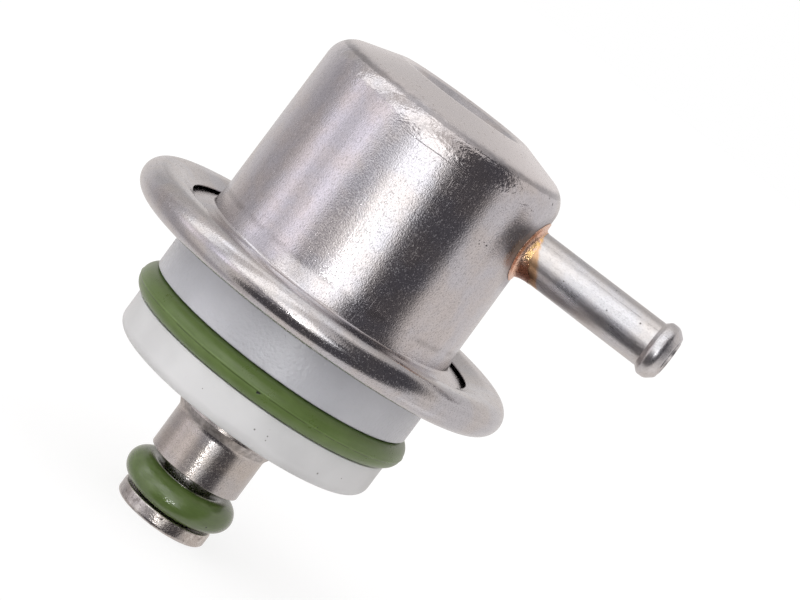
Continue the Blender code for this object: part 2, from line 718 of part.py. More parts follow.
def make_valve_holder(material, parent):
    """Rivet that clamps the plates, with the ball's socket in its underside."""
    pocket_z = RETAINER_TOP_Z + SEAT_GAP
    socket_r = BALL_R + PRESS_GAP
    section = rounded_path([
        (RETAINER_R + PRESS_GAP, SKIRT_Z, 0),
        (HOLDER_SKIRT_R, SKIRT_Z, BREAK_R),
        (HOLDER_SKIRT_R, SKIRT_TOP_Z, 0),
        (HOLDER_SHANK_R, SKIRT_TOP_Z, 0),
        (HOLDER_SHANK_R, HEAD_Z, 0),
        (RIVET_HEAD_R, HEAD_Z, 0),
        (RIVET_HEAD_R, HEAD_Z + RIVET_HEAD_H, ROLLED_EDGE_R),
        (0, HEAD_Z + RIVET_HEAD_H, 0),
    ])
    socket = [
        Vector((0, SOCKET_TOP_Z + SOCKET_CONE)),
        Vector((socket_r, SOCKET_TOP_Z)),
        Vector((socket_r, pocket_z)),
        Vector((RETAINER_R + PRESS_GAP, pocket_z)),
    ]
    outside = list(reversed(section))
    return turned("valve_holder", outside + list(reversed(socket)), FINE_STEPS, material, parent)


def make_ball_retainer(material, parent):
    """Split ring under the ball, seated in the holder's pocket."""
    low_z = RETAINER_TOP_Z - RETAINER_SHEET
    split = math.asin(RETAINER_SPLIT / 2 / RETAINER_R)
    steps = 18
    mesh_data = bmesh.new()
    rings = []
    for step in range(steps + 1):
        angle = split + (2 * math.pi - 2 * split) * step / steps
        ring = []
        for radius, z in (
            (RETAINER_BORE_R, low_z),
            (RETAINER_R, low_z),
            (RETAINER_R, RETAINER_TOP_Z),
            (RETAINER_BORE_R, RETAINER_TOP_Z),
        ):
            place = (radius * math.cos(angle) * MM, radius * math.sin(angle) * MM, z * MM)
            ring.append(mesh_data.verts.new(place))
        rings.append(ring)
    for first, second in zip(rings, rings[1:]):
        for side in range(4):
            other = (side + 1) % 4
            mesh_data.faces.new((first[side], first[other], second[other], second[side]))
    mesh_data.faces.new(rings[0])
    mesh_data.faces.new(list(reversed(rings[-1])))
    return add_object("ball_retainer", mesh_data, material, parent)


def make_valve(plate_material, ball_material, swivel):
    """Valve plate and its ball, which swivel together about the ball's middle."""
    cup_r = BALL_R + PRESS_GAP
    cup = []
    for step in range(4):
        radius = VALVE_NECK_R * (1 - step / 3)
        cup.append(Vector((radius, BALL_Z - math.sqrt(cup_r ** 2 - radius ** 2))))
    section = rounded_path([
        (0, VALVE_Z, 0),
        (VALVE_R, VALVE_Z, 0),
        (VALVE_R, VALVE_Z + VALVE_SHEET, KNIFE_R),
        (VALVE_NECK_R, VALVE_Z + VALVE_SHEET, KNIFE_R),
        (VALVE_NECK_R, cup[0].y, 0),
    ])
    turned("valve_plate", section + cup[1:], FINE_STEPS, plate_material, swivel, BALL_Z)
    mesh_data = bmesh.new()
    bmesh.ops.create_uvsphere(mesh_data, u_segments=16, v_segments=10, radius=BALL_R * MM)
    add_object("valve_ball", mesh_data, ball_material, swivel)


def make_springs(main_material, small_material, fixed, lifted):
    """Main spring between the cup and the can's top, and the ball's own spring in its socket."""
    land_slope = (CAN_TOP_Z - CAN_SHOULDER_Z) / (CAN_TOP_R - RECESS_R)
    outer_r = SPRING_MEAN_R + SPRING_WIRE_R
    land_z = CAN_TOP_Z - (outer_r - RECESS_R) * land_slope
    top_z = land_z - CAN_SHEET * math.sqrt(1 + land_slope ** 2) - SEAT_GAP
    coil(
        "main_spring", SPRING_MEAN_R, SPRING_WIRE_R, SPRING_TURNS, CUP_FLOOR_Z + SEAT_GAP, top_z,
        1.0, 14, 6, main_material, fixed,
    )
    coil(
        "ball_spring", BALL_SPRING_MEAN_R, BALL_SPRING_WIRE_R, BALL_SPRING_TURNS, BALL_Z + BALL_R * 0.80,
        SOCKET_TOP_Z - BALL_SPRING_GAP, 0.5, 10, 5, small_material, lifted,
    )


def add_frame(name, location, parent=None):
    frame = bpy.data.objects.new(name, None)
    bpy.context.collection.objects.link(frame)
    frame.location = location
    frame.parent = parent
    return frame


def main():
    for obj in list(bpy.data.objects):
        bpy.data.objects.remove(obj)
    stainless = make_material("can_stainless", (0.56, 0.55, 0.55), 0.32, 1)
    rolled = make_material("rolled_stainless", (0.60, 0.59, 0.59), 0.24, 1)
    tube_steel = make_material("tube_steel", (0.60, 0.59, 0.58), 0.28, 1)
    copper = make_material("braze_copper", (0.72, 0.36, 0.17), 0.30, 1)
    inner_copper = make_material("inner_braze_copper", (0.62, 0.32, 0.16), 0.40, 1)
    turned_steel = make_material("turned_steel", (0.50, 0.47, 0.44), 0.34, 1)
    hard_steel = make_material("hardened_steel", (0.42, 0.41, 0.40), 0.25, 1)
    grey_plastic = make_material("spacer_plastic", (0.62, 0.63, 0.68), 0.45, 0)
    white_plastic = make_material("strainer_plastic", (0.80, 0.80, 0.80), 0.45, 0)
    mesh_steel = make_material("mesh_steel", (0.45, 0.45, 0.44), 0.45, 1)
    green_rubber = make_material("large_seal_rubber", (0.12, 0.22, 0.06), 0.40, 0)
    small_rubber = make_material("small_seal_rubber", (0.13, 0.25, 0.07), 0.25, 0)
    cloth_rubber = make_material("diaphragm_rubber", (0.03, 0.03, 0.03), 0.60, 0)
    plate_steel = make_material("plate_steel", (0.48, 0.48, 0.46), 0.35, 1)
    backing_steel = make_material("backing_steel", (0.50, 0.49, 0.46), 0.38, 1)
    cup_steel = make_material("cup_steel", (0.52, 0.50, 0.44), 0.35, 1)
    holder_steel = make_material("holder_steel", (0.50, 0.49, 0.47), 0.30, 1)
    ring_steel = make_material("retainer_steel", (0.35, 0.35, 0.36), 0.30, 1)
    valve_steel = make_material("valve_steel", (0.55, 0.54, 0.53), 0.22, 1)
    ball_steel = make_material("ball_steel", (0.62, 0.62, 0.62), 0.12, 1)
    spring_steel = make_material("spring_steel", (0.30, 0.30, 0.32), 0.32, 1)
    fine_wire = make_material("ball_spring_wire", (0.36, 0.36, 0.38), 0.30, 1)

    body = add_frame("body_frame", (AXIS_X * MM, 0, 0))
    lift = add_frame("lift_frame", (0, 0, 0), body)
    swivel = add_frame("swivel_frame", (0, 0, BALL_Z * MM), lift)

    make_spring_can(stainless, body)
    make_hose_nipple(tube_steel, body)
    make_nipple_braze(copper, body)
    make_lower_housing(rolled, body)
    make_return_fitting(turned_steel, body)
    make_fitting_braze(inner_copper, body)
    make_valve_seat(hard_steel, body)
    make_upper_ring(grey_plastic, body)
    make_strainer_frame(white_plastic, body)
    make_strainer_mesh(mesh_steel, body)
    make_seals(green_rubber, small_rubber, body)
    make_diaphragm(cloth_rubber, body)
    make_plates(plate_steel, backing_steel, cup_steel, lift)
    make_valve_holder(holder_steel, lift)
    make_ball_retainer(ring_steel, lift)
    make_springs(spring_steel, fine_wire, body, lift)
    make_valve(valve_steel, ball_steel, swivel)


main()
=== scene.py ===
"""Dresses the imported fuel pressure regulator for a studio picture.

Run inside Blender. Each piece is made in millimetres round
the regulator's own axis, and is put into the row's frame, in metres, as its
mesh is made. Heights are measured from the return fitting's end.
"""
import math
import bmesh
import bpy
from mathutils import Matrix, Vector, noise


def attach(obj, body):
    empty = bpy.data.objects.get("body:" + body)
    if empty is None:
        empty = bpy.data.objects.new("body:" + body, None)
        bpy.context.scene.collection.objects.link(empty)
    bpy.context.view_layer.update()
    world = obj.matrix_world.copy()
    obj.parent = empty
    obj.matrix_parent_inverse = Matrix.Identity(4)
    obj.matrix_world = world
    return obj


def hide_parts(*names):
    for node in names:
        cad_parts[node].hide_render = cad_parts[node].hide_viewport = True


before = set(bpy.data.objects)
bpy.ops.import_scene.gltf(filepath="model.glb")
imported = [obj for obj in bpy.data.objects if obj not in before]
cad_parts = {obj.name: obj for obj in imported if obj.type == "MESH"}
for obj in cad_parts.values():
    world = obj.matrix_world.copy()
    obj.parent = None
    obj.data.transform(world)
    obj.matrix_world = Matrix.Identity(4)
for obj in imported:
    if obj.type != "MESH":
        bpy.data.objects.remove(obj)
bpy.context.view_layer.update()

bl_info = {
    "name": "Fuel Pressure Regulator",
    "version": (1, 0, 0),
    "blender": (4, 5, 0),
    "location": "3D View > Sidebar > Regulator",
    "description": "Builds the visible pieces of a fuel pressure regulator and its studio",
    "category": "Object",
}

MM = 0.001

# Fineness of the turned pieces
AROUND = 224
SMALL_AROUND = 144
HOLE_AROUND = 48
ARC_STEP = math.radians(7)

# Edges sharper than this many degrees stay crisp, unless a piece says otherwise
CREASE = 32

# Body of the frame that every visible piece rides on
BODY = "regulator_body"

# Places shared by several pieces, in millimetres
AXIS_X = -4.475
NIPPLE_Z = 42.20
FLANGE_Z = 25.20
FLANGE_TOP_Z = 27.55
HOUSING_R = 12.50
FITTING_R = 4.95
NIPPLE_R = 2.43
CAN_R = 13.50
CAN_TOP_R = 13.28
CAN_FOOT_Z = 28.22
CAN_WAIST_Z = 30.05
SHOULDER_Z = 47.95
RIM_R = 20.95
RIM_TOP_Z = 28.75
LIP_R = 16.00
RECESS_Z = 48.80
TOP_Z = 49.81
CUP_FLOOR_Z = 14.55
SPACER_R = 14.50
STRAINER_R = 14.40
HUB_R = 8.10
RING_BORE_R = 12.60
BORE_R = 1.60
GROOVE_R = 2.72
LARGE_SEAL_R = 15.41
LARGE_SEAL_Z = 18.73
SMALL_SEAL_R = 5.98
SMALL_SEAL_Z = 3.47

# Holes in the housing's floor, and windows in the strainer's, stand at these bearings
BEARINGS = [math.radians(30 + 60 * number) for number in range(6)]

# Stretch of a metal's streaks, bands, scratches and grit, for lines that run each way
WAYS = {
    "up": ((7, 7, 0.3), (1.7, 1.7, 0.08), (2.6, 2.6, 0.10), (9.0, 9.0, 5.0)),
    "out": ((0.3, 7, 7), (0.08, 1.7, 1.7), (0.10, 2.6, 2.6), (5.0, 9.0, 9.0)),
    "round": ((7, 7, 0.4), (1.7, 1.7, 0.1), (2.6, 2.6, 0.25), (6.5, 6.5, 9.0)),
}

# Colours of wear and dirt, and of painted shade, painted highlight and painted reflection
BLACK = (0, 0, 0)
PIT = (0.05, 0.045, 0.045)
DRAW_LINE = (0.10, 0.09, 0.10)
SHOULDER_SHADE = (0.16, 0.15, 0.16)
# Painted highlight on the flat land round the can's recess
LAND_PAINTED_HIGHLIGHT = (0.92, 0.87, 0.87)
BROWN_DOTS = (0.30, 0.24, 0.20)
# Painted shade round the can's waist
WAIST_PAINTED_SHADE = (0.14, 0.13, 0.13)
# Painted reflection of the hose nipple's tube on the can
TUBE_PAINTED_REFLECTION = (0.16, 0.155, 0.16)
BURNT_SKIN = (0.10, 0.085, 0.075)
DISC_DIRT = (0.12, 0.10, 0.09)
DISC_WORN = (0.80, 0.77, 0.73)
TUBE_GOLD = (0.72, 0.42, 0.20)
TUBE_BROWN = (0.30, 0.17, 0.10)
HAIRLINE = (0.12, 0.11, 0.11)
PLASTIC_DIRT = (0.10, 0.085, 0.085)
SEAL_DIRT = (0.01, 0.012, 0.008)
THIN_GOLD = (0.92, 0.60, 0.26)
PALE_COPPER = (0.86, 0.54, 0.40)

# Levels of the studio's walls and lights, as colours that bare metal shows
TENT = (0.80, 0.765, 0.75)
LEFT_WALL = (0.50, 0.475, 0.485)
BACK_WALL = (0.58, 0.56, 0.55)
SIDE_WALL = (0.80, 0.77, 0.81)
SIDE_LAMP = (1.30, 1.24, 1.33)
STRIP_LAMP = (1.45, 1.38, 1.48)
CORNER = (1.00, 0.97, 0.96)
HIGH_PATCH = (1.15, 1.13, 1.12)
LAMP_GLOW = (1.20, 1.20, 1.20)
MOUTH = (0.085, 0.080, 0.088)
MOUTH_EDGE = (0.34, 0.33, 0.36)
CEILING = (1.85, 1.85, 1.85)
CEILING_EDGE = (1.30, 1.30, 1.30)
WINDOW = (1.60, 1.60, 1.60)
OVERHEAD = (1.75, 1.75, 1.75)
MAIN_LAMP = (1.90, 1.90, 1.90)


class RegulatorFinish(bpy.types.PropertyGroup):
    """Small finishing sizes of the visible pieces."""

    sheet_edge: bpy.props.FloatProperty(
        name="Sheet edge", description="Radius broken on the edges of the sheet metal",
        default=0.12 * MM, min=0.02 * MM, max=0.3 * MM, unit="LENGTH", precision=5,
    )
    braze_on_can: bpy.props.FloatProperty(
        name="Braze on the can", description="How far the copper has run out over the can",
        default=0.90 * MM, min=0.4 * MM, max=1.4 * MM, unit="LENGTH", precision=5,
    )
    braze_on_tube: bpy.props.FloatProperty(
        name="Braze on the tube", description="How far the copper has run along the tube",
        default=1.50 * MM, min=0.8 * MM, max=3.0 * MM, unit="LENGTH", precision=5,
    )
    parting_line: bpy.props.FloatProperty(
        name="Parting line", description="Height of the moulding line round the large O-ring",
        default=0.045 * MM, min=0.0, max=0.12 * MM, unit="LENGTH", precision=6,
    )
    weave_pitch: bpy.props.FloatProperty(
        name="Weave pitch", description="Distance between the wires of the strainer",
        default=0.50 * MM, min=0.3 * MM, max=1.0 * MM, unit="LENGTH", precision=5,
    )


class RegulatorColours(bpy.types.PropertyGroup):
    """Colours of the visible pieces."""

    can_steel: bpy.props.FloatVectorProperty(
        name="Can", description="Drawn stainless of the spring can",
        default=(0.625, 0.605, 0.615), min=0, max=1, subtype="COLOR",
    )
    rim_steel: bpy.props.FloatVectorProperty(
        name="Rim", description="Rolled stainless of the lower housing",
        default=(0.59, 0.575, 0.58), min=0, max=1, subtype="COLOR",
    )
    tube_steel: bpy.props.FloatVectorProperty(
        name="Nipple", description="Tube of the hose nipple",
        default=(0.66, 0.65, 0.65), min=0, max=1, subtype="COLOR",
    )
    turned_steel: bpy.props.FloatVectorProperty(
        name="Fitting", description="Turned steel of the return fitting",
        default=(0.56, 0.525, 0.495), min=0, max=1, subtype="COLOR",
    )
    copper: bpy.props.FloatVectorProperty(
        name="Braze", description="Copper of the brazed joint",
        default=(0.88, 0.60, 0.47), min=0, max=1, subtype="COLOR",
    )
    spacer: bpy.props.FloatVectorProperty(
        name="Upper ring", description="Grey-white plastic of the upper ring",
        default=(0.52, 0.525, 0.56), min=0, max=1, subtype="COLOR",
    )
    strainer: bpy.props.FloatVectorProperty(
        name="Lower ring", description="Milky plastic of the strainer frame",
        default=(0.655, 0.655, 0.66), min=0, max=1, subtype="COLOR",
    )
    seal: bpy.props.FloatVectorProperty(
        name="Seals", description="Green rubber of the O-rings",
        default=(0.104, 0.158, 0.042), min=0, max=1, subtype="COLOR",
    )


class RegulatorStudio(bpy.types.PropertyGroup):
    """Camera and lights."""

    distance: bpy.props.FloatProperty(
        name="Camera distance", description="From the regulator's axis to the camera, on the level",
        default=260.45 * MM, min=0.1, max=1.0, unit="LENGTH", precision=4,
    )
    height: bpy.props.FloatProperty(
        name="Camera height", description="Height of the camera over the floor",
        default=65.59 * MM, min=0.0, max=0.5, unit="LENGTH", precision=4,
    )
    bearing: bpy.props.FloatProperty(
        name="Bearing", description="Turn of the camera round the regulator, from straight in front",
        default=math.radians(10.343), subtype="ANGLE",
    )
    aim: bpy.props.FloatProperty(
        name="Aim", description="Turn of the view to the right of the axis",
        default=math.radians(1.350), subtype="ANGLE",
    )
    pitch: bpy.props.FloatProperty(
        name="Pitch", description="How far the camera looks down, as a negative angle",
        default=math.radians(-7.580), subtype="ANGLE",
    )
    roll: bpy.props.FloatProperty(
        name="Roll", description="Turn of the camera about its own line of sight",
        default=math.radians(36.652), subtype="ANGLE",
    )
    lens: bpy.props.FloatProperty(
        name="Lens", description="Focal length on a 36 mm sensor",
        default=124.28, min=20, max=300, unit="CAMERA",
    )
    front: bpy.props.FloatProperty(
        name="Front lamp", description="Light on the plastics from the upper left of the camera",
        default=0.30, min=0, max=4,
    )
    side: bpy.props.FloatProperty(
        name="Side lamp", description="Light on the plastics from the right of the camera",
        default=0.25, min=0, max=4,
    )
    glint: bpy.props.FloatProperty(
        name="Glint lamp", description="Small lamp beside the camera that glints on the plastics and seals",
        default=0.20, min=0, max=4,
    )
    room: bpy.props.FloatProperty(
        name="Room light", description="Strength of the light that the studio's walls give",
        default=1.0, min=0, max=4,
    )


class Value:
    """A node's output that takes part in Python arithmetic, one Math node for each operator."""

    def __init__(self, board, socket):
        self.board = board
        self.socket = socket

    def _math(self, operation, first, second=None):
        inputs = {0: first} if second is None else {0: first, 1: second}
        return self.board.node("ShaderNodeMath", {"operation": operation}, inputs)

    def __add__(self, other):
        return self._math("ADD", self, other)

    __radd__ = __add__

    def __sub__(self, other):
        return self._math("SUBTRACT", self, other)

    def __rsub__(self, other):
        return self._math("SUBTRACT", other, self)

    def __mul__(self, other):
        return self._math("MULTIPLY", self, other)

    __rmul__ = __mul__

    def __truediv__(self, other):
        return self._math("DIVIDE", self, other)

    def __rtruediv__(self, other):
        return self._math("DIVIDE", other, self)

    def __pow__(self, other):
        return self._math("POWER", self, other)

    def __abs__(self):
        return self._math("ABSOLUTE", self)


class Board:
    """A node tree, with one way to add a node to it."""

    def __init__(self, tree):
        self.tree = tree

    def plug(self, socket, value):
        if isinstance(value, Value):
            self.tree.links.new(value.socket, socket)
        elif hasattr(socket.default_value, "__len__") and len(socket.default_value) == 4:
            socket.default_value = (*value[:3], 1)
        else:
            socket.default_value = value

    def node(self, kind, settings=None, inputs=None, output=0):
        made = self.tree.nodes.new(kind)
        for name, value in (settings or {}).items():
            setattr(made, name, value)
        for key, value in (inputs or {}).items():
            self.plug(made.inputs[key], value)
        return Value(self, made.outputs[output])

    def place(self):
        """Object coordinates in millimetres, measured from the regulator's axis."""
        here = self.node("ShaderNodeTexCoord", output=3)
        shifted = self.vectors("SUBTRACT", here, (AXIS_X * MM, 0, 0))
        return self.node("ShaderNodeVectorMath", {"operation": "SCALE"}, {0: shifted, "Scale": 1 / MM})

    def vectors(self, operation, first, second, output=0):
        return self.node("ShaderNodeVectorMath", {"operation": operation}, {0: first, 1: second}, output)

    def parts(self, vector):
        split = self.node("ShaderNodeSeparateXYZ", None, {0: vector})
        outputs = split.socket.node.outputs
        return [Value(self, outputs[index]) for index in range(3)]

    def joined(self, x, y, z):
        return self.node("ShaderNodeCombineXYZ", None, {0: x, 1: y, 2: z})

    def angle(self, first, second):
        return self.node("ShaderNodeMath", {"operation": "ARCTAN2"}, {0: first, 1: second})

    def stretch(self, vector, factors):
        return self.vectors("MULTIPLY", vector, factors)

    def noise(self, vector, scale, detail, rough):
        inputs = {"Vector": vector, "Scale": scale, "Detail": detail, "Roughness": rough}
        return self.node("ShaderNodeTexNoise", {"noise_type": "FBM"}, inputs)

    def swing(self, vector, scale, detail, rough):
        """Noise that swings either side of 0."""
        return self.noise(vector, scale, detail, rough) - 0.5

    def ease(self, value, low, high):
        """Runs smoothly from 0 to 1 as the value goes from low to high."""
        settings = {"interpolation_type": "SMOOTHSTEP"}
        return self.node("ShaderNodeMapRange", settings, {"Value": value, "From Min": low, "From Max": high})

    def mix(self, factor, first, second):
        return self.node("ShaderNodeMix", {"data_type": "RGBA"}, {0: factor, 6: first, 7: second}, output=2)

    def spot(self, vector, point, radius):
        """1 inside the radius round the point, in millimetres, fading to 0."""
        away = self.vectors("DISTANCE", vector, point, output=1)
        return self.ease(away, radius * 1.5, radius * 0.5)


def new_material(name, **fixed):
    """A Principled material with its fixed numbers set on the shader's own sockets."""
    material = bpy.data.materials.new(name)
    material.use_nodes = True
    shader = material.node_tree.nodes["Principled BSDF"]
    for key, value in fixed.items():
        shader.inputs[key.replace("_", " ").title().replace("Ior", "IOR")].default_value = value
    return material, Board(material.node_tree), shader


def shade(colour, factor, lift=0.0):
    """The colour, darker or lighter by the factor."""
    return tuple(min(1, level * factor + lift) for level in colour)


def finish_material(board, shader, colour, roughness, height):
    """Feeds the shader; the height is in millimetres."""
    board.plug(shader.inputs["Base Color"], colour)
    board.plug(shader.inputs["Roughness"], roughness)
    bump = board.node("ShaderNodeBump", None, {"Height": height, "Distance": MM, "Strength": 1.0})
    board.plug(shader.inputs["Normal"], bump)


# Outlines are lists of points (r, z) in millimetres

def rounded(corners):
    """Points through the corners (r, z, radius), with an arc at each radius."""
    points = []
    for index, (r, z, radius) in enumerate(corners):
        here = Vector((r, z))
        if radius <= 0:
            points.append(here)
            continue
        before = (Vector(corners[index - 1][:2]) - here).normalized()
        after = (Vector(corners[(index + 1) % len(corners)][:2]) - here).normalized()
        half = before.angle(after) / 2
        reach = radius / math.tan(half)
        centre = here + (before + after).normalized() * (radius / math.sin(half))
        start = here + before * reach - centre
        end = here + after * reach - centre
        sweep = start.angle(end)
        turn = 1 if start.x * end.y - start.y * end.x > 0 else -1
        steps = max(3, math.ceil(sweep / ARC_STEP))
        for step in range(steps + 1):
            points.append(centre + Matrix.Rotation(turn * sweep * step / steps, 2) @ start)
    return points


def sheet(path, thickness, edge):
    """Closed outline of a sheet that lies left of the path, or right of it for a negative thickness.

    Its free ends are broken by the edge radius. A path may start on the axis.
    """
    normals = []
    for first, second in zip(path, path[1:]):
        along = (second - first).normalized()
        normals.append(Vector((-along.y, along.x)))
    moved = []
    for index, point in enumerate(path):
        one = normals[max(index - 1, 0)]
        two = normals[min(index, len(normals) - 1)]
        moved.append(point + (one + two) * (thickness / (1 + one.dot(two))))

    def broken(here, there, back):
        """Quarter arcs round the two corners of an end; back points into the sheet."""
        across = (there - here).normalized()
        points = []
        for corner, inward, start, stop in ((here, across, 90, 0), (there, -across, 0, 90)):
            centre = corner + (inward + back) * edge
            for step in range(4):
                angle = math.radians(start + (stop - start) * step / 3)
                points.append(centre - back * (edge * math.cos(angle)) - inward * (edge * math.sin(angle)))
        return points

    outline = broken(path[-1], moved[-1], (path[-2] - path[-1]).normalized())
    if path[0].x < 1e-6:
        return [*path[:-1], *outline, *reversed(moved[:-1])]
    start = broken(moved[0], path[0], (path[1] - path[0]).normalized())
    return [*path[1:-1], *outline, *reversed(moved[1:-1]), *start]


def oval(centre_r, centre_z, half_r, half_z, steps, ridge=0.0):
    """Round or oval outline, with a moulding line of the ridge's height at its outermost point."""
    whole = 2 * math.pi
    points = [(whole * step / steps, 0.0) for step in range(steps)]
    if ridge:
        width = 0.11 / half_z
        profile = ((0, 1), (0.7, 0.55), (1.35, -0.35), (2.0, -0.25))
        above = [(share * width, lift * ridge) for share, lift in profile]
        below = [(whole - angle, lift) for angle, lift in reversed(above[1:])]
        points = above + [item for item in points if min(item[0], whole - item[0]) > 2.2 * width] + below
    return [
        Vector((centre_r + (half_r + lift) * math.cos(angle), centre_z + (half_z + lift) * math.sin(angle)))
        for angle, lift in points
    ]


def vertex(mesh_data, x, y, z):
    """A new vertex, placed in millimetres from the regulator's axis."""
    return mesh_data.verts.new(((AXIS_X + x) * MM, y * MM, z * MM))


def bridge(mesh_data, rings, count):
    """Faces between the rings, and from the last to the first, along the first count edges of each."""
    for first, second in zip(rings, rings[1:] + rings[:1]):
        for index in range(count):
            other = (index + 1) % len(first)
            mesh_data.faces.new((first[index], second[index], second[other], first[other]))


def revolve(outline, steps, sag=None):
    """Mesh of the outline turned round the regulator's axis. sag(angle) moves the points at that angle up."""
    mesh_data = bmesh.new()
    rings = []
    for step in range(steps):
        angle = 2 * math.pi * step / steps
        lift = sag(angle) if sag else 0.0
        rings.append([vertex(mesh_data, r * math.cos(angle), r * math.sin(angle), z + lift) for r, z in outline])
    on_axis = outline[0].x < 1e-6 and outline[-1].x < 1e-6
    bridge(mesh_data, rings, len(outline) - 1 if on_axis else len(outline))
    return mesh_data


def to_mesh(name, mesh_data, crease):
    """Welds and orients the mesh and shades it smooth, apart from edges sharper than the crease in degrees."""
    bmesh.ops.remove_doubles(mesh_data, verts=mesh_data.verts, dist=1e-8)
    bmesh.ops.dissolve_degenerate(mesh_data, edges=mesh_data.edges, dist=1e-9)
    bmesh.ops.recalc_face_normals(mesh_data, faces=mesh_data.faces)
    mesh = bpy.data.meshes.new(name)
    mesh_data.to_mesh(mesh)
    mesh_data.free()
    mesh.shade_smooth()
    mesh.set_sharp_from_angle(angle=math.radians(crease))
    return mesh


def linked(name, data):
    """A new object with the data, in the scene's collection."""
    made = bpy.data.objects.new(name, data)
    bpy.context.scene.collection.objects.link(made)
    return made


def add_piece(name, mesh_data, material, node, crease=CREASE):
    """Puts the piece on the body, and lets it stand for its CAD node."""
    piece = linked(name, to_mesh(name, mesh_data, crease))
    piece.data.materials.append(material)
    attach(piece, BODY)
    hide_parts(node)
    return piece


def drilled(piece, mesh_data):
    """Cuts the cutters' mesh out of the piece."""
    mesh = bpy.data.meshes.new("cutter")
    bmesh.ops.recalc_face_normals(mesh_data, faces=mesh_data.faces)
    mesh_data.to_mesh(mesh)
    mesh_data.free()
    cutter = linked("cutter", mesh)
    modifier = piece.modifiers.new("cut", "BOOLEAN")
    modifier.operation = "DIFFERENCE"
    modifier.solver = "EXACT"
    modifier.object = cutter
    bpy.context.view_layer.update()
    graph = bpy.context.evaluated_depsgraph_get()
    result = bpy.data.meshes.new_from_object(piece.evaluated_get(graph))
    piece.modifiers.clear()
    bpy.data.objects.remove(cutter)
    piece.data = result
    piece.data.shade_smooth()
    piece.data.set_sharp_from_angle(angle=math.radians(CREASE))


def cylinder(mesh_data, radius, depth, steps, matrix):
    """Adds a closed cylinder to the mesh, for drilling."""
    bmesh.ops.create_cone(
        mesh_data, cap_ends=True, segments=steps, radius1=radius * MM, radius2=radius * MM,
        depth=depth * MM, matrix=matrix,
    )


def on_nipple(x):
    """Placement on the nipple's axis, at x from the regulator's axis, that turns +Z outwards."""
    return Matrix.Translation(((AXIS_X + x) * MM, 0, NIPPLE_Z * MM)) @ Matrix.Rotation(math.pi / 2, 4, "Y")


def can_radius(z):
    """Outside radius of the can's wall, which is drawn with a slight draft."""
    share = (z - CAN_WAIST_Z) / (SHOULDER_Z - CAN_WAIST_Z)
    return CAN_R + (CAN_TOP_R - CAN_R) * share


def steel(name, colour, roughness=0.20, grain=0.009, grain_size=0.14, lines=0.0025, way="up",
          speckle=0.20, scratches=0.004, wear=None, marks=()):
    """Bare metal with a salt-and-pepper grain, drawn or turned lines, scratches and named marks.

    way is up for lines along the axis, round for turned lines, and out for lines along the nipple.
    grain, lines and scratches are heights in millimetres. A mark is (x, y, z, radius, depth), measured from
    the axis. wear(board, here, base, rough, height) may change the three.
    """
    material, board, shader = new_material(name, metallic=1.0)
    along = here = board.place()
    if way == "round":
        x, y, z = board.parts(here)
        along = board.joined((x * x + y * y) ** 0.5, z, board.angle(y, x) * 0.6)
    thin, thick, scratch, grit = WAYS[way]
    streaks = board.swing(board.stretch(along, thin), 1.0, 3, 0.65)
    bands = board.noise(board.stretch(along, thick), 1.0, 2, 0.5)
    fine = board.swing(here, 1 / grain_size, 1, 0.7)
    peppery = board.noise(board.stretch(here, grit), 1.0, 1, 0.6)
    cloudy = board.noise(here, 0.25, 3, 0.55)
    warm = (colour[0] * 1.03, colour[1] * 0.99, colour[2] * 0.965)
    cool = (colour[0] * 0.98, colour[1] * 0.985, colour[2] * 1.025)
    base = board.mix(board.ease(cloudy, 0.35, 0.65), cool, warm)
    base = board.mix(board.ease(peppery, 0.50, 0.66) * speckle, base, BLACK)
    base = board.mix(board.ease(bands, 0.40, 0.62) * 0.05, base, BLACK)
    ridge = 1 - abs(board.swing(board.stretch(along, scratch), 1.0, 0, 0.5)) * 60
    place = board.ease(board.noise(here, 0.55, 2, 0.6), 0.56, 0.64)
    cut = board.ease(ridge, 0.0, 0.9) * place
    dusty = board.ease(board.noise(here, 6.0, 1, 0.6), 0.58, 0.68)
    rough = roughness + streaks * 0.10 + (cloudy - 0.5) * 0.12 + cut * 0.12 + dusty * speckle * 1.1
    height = fine * grain + streaks * lines - cut * scratches
    for *point, radius, depth in marks:
        dent = board.spot(here, point, radius)
        height = height - dent * depth
        base = board.mix(dent * 0.75, base, PIT)
        rough = rough + dent * 0.25
    if wear:
        base, rough, height = wear(board, here, base, rough, height)
    finish_material(board, shader, base, rough, height)
    return material


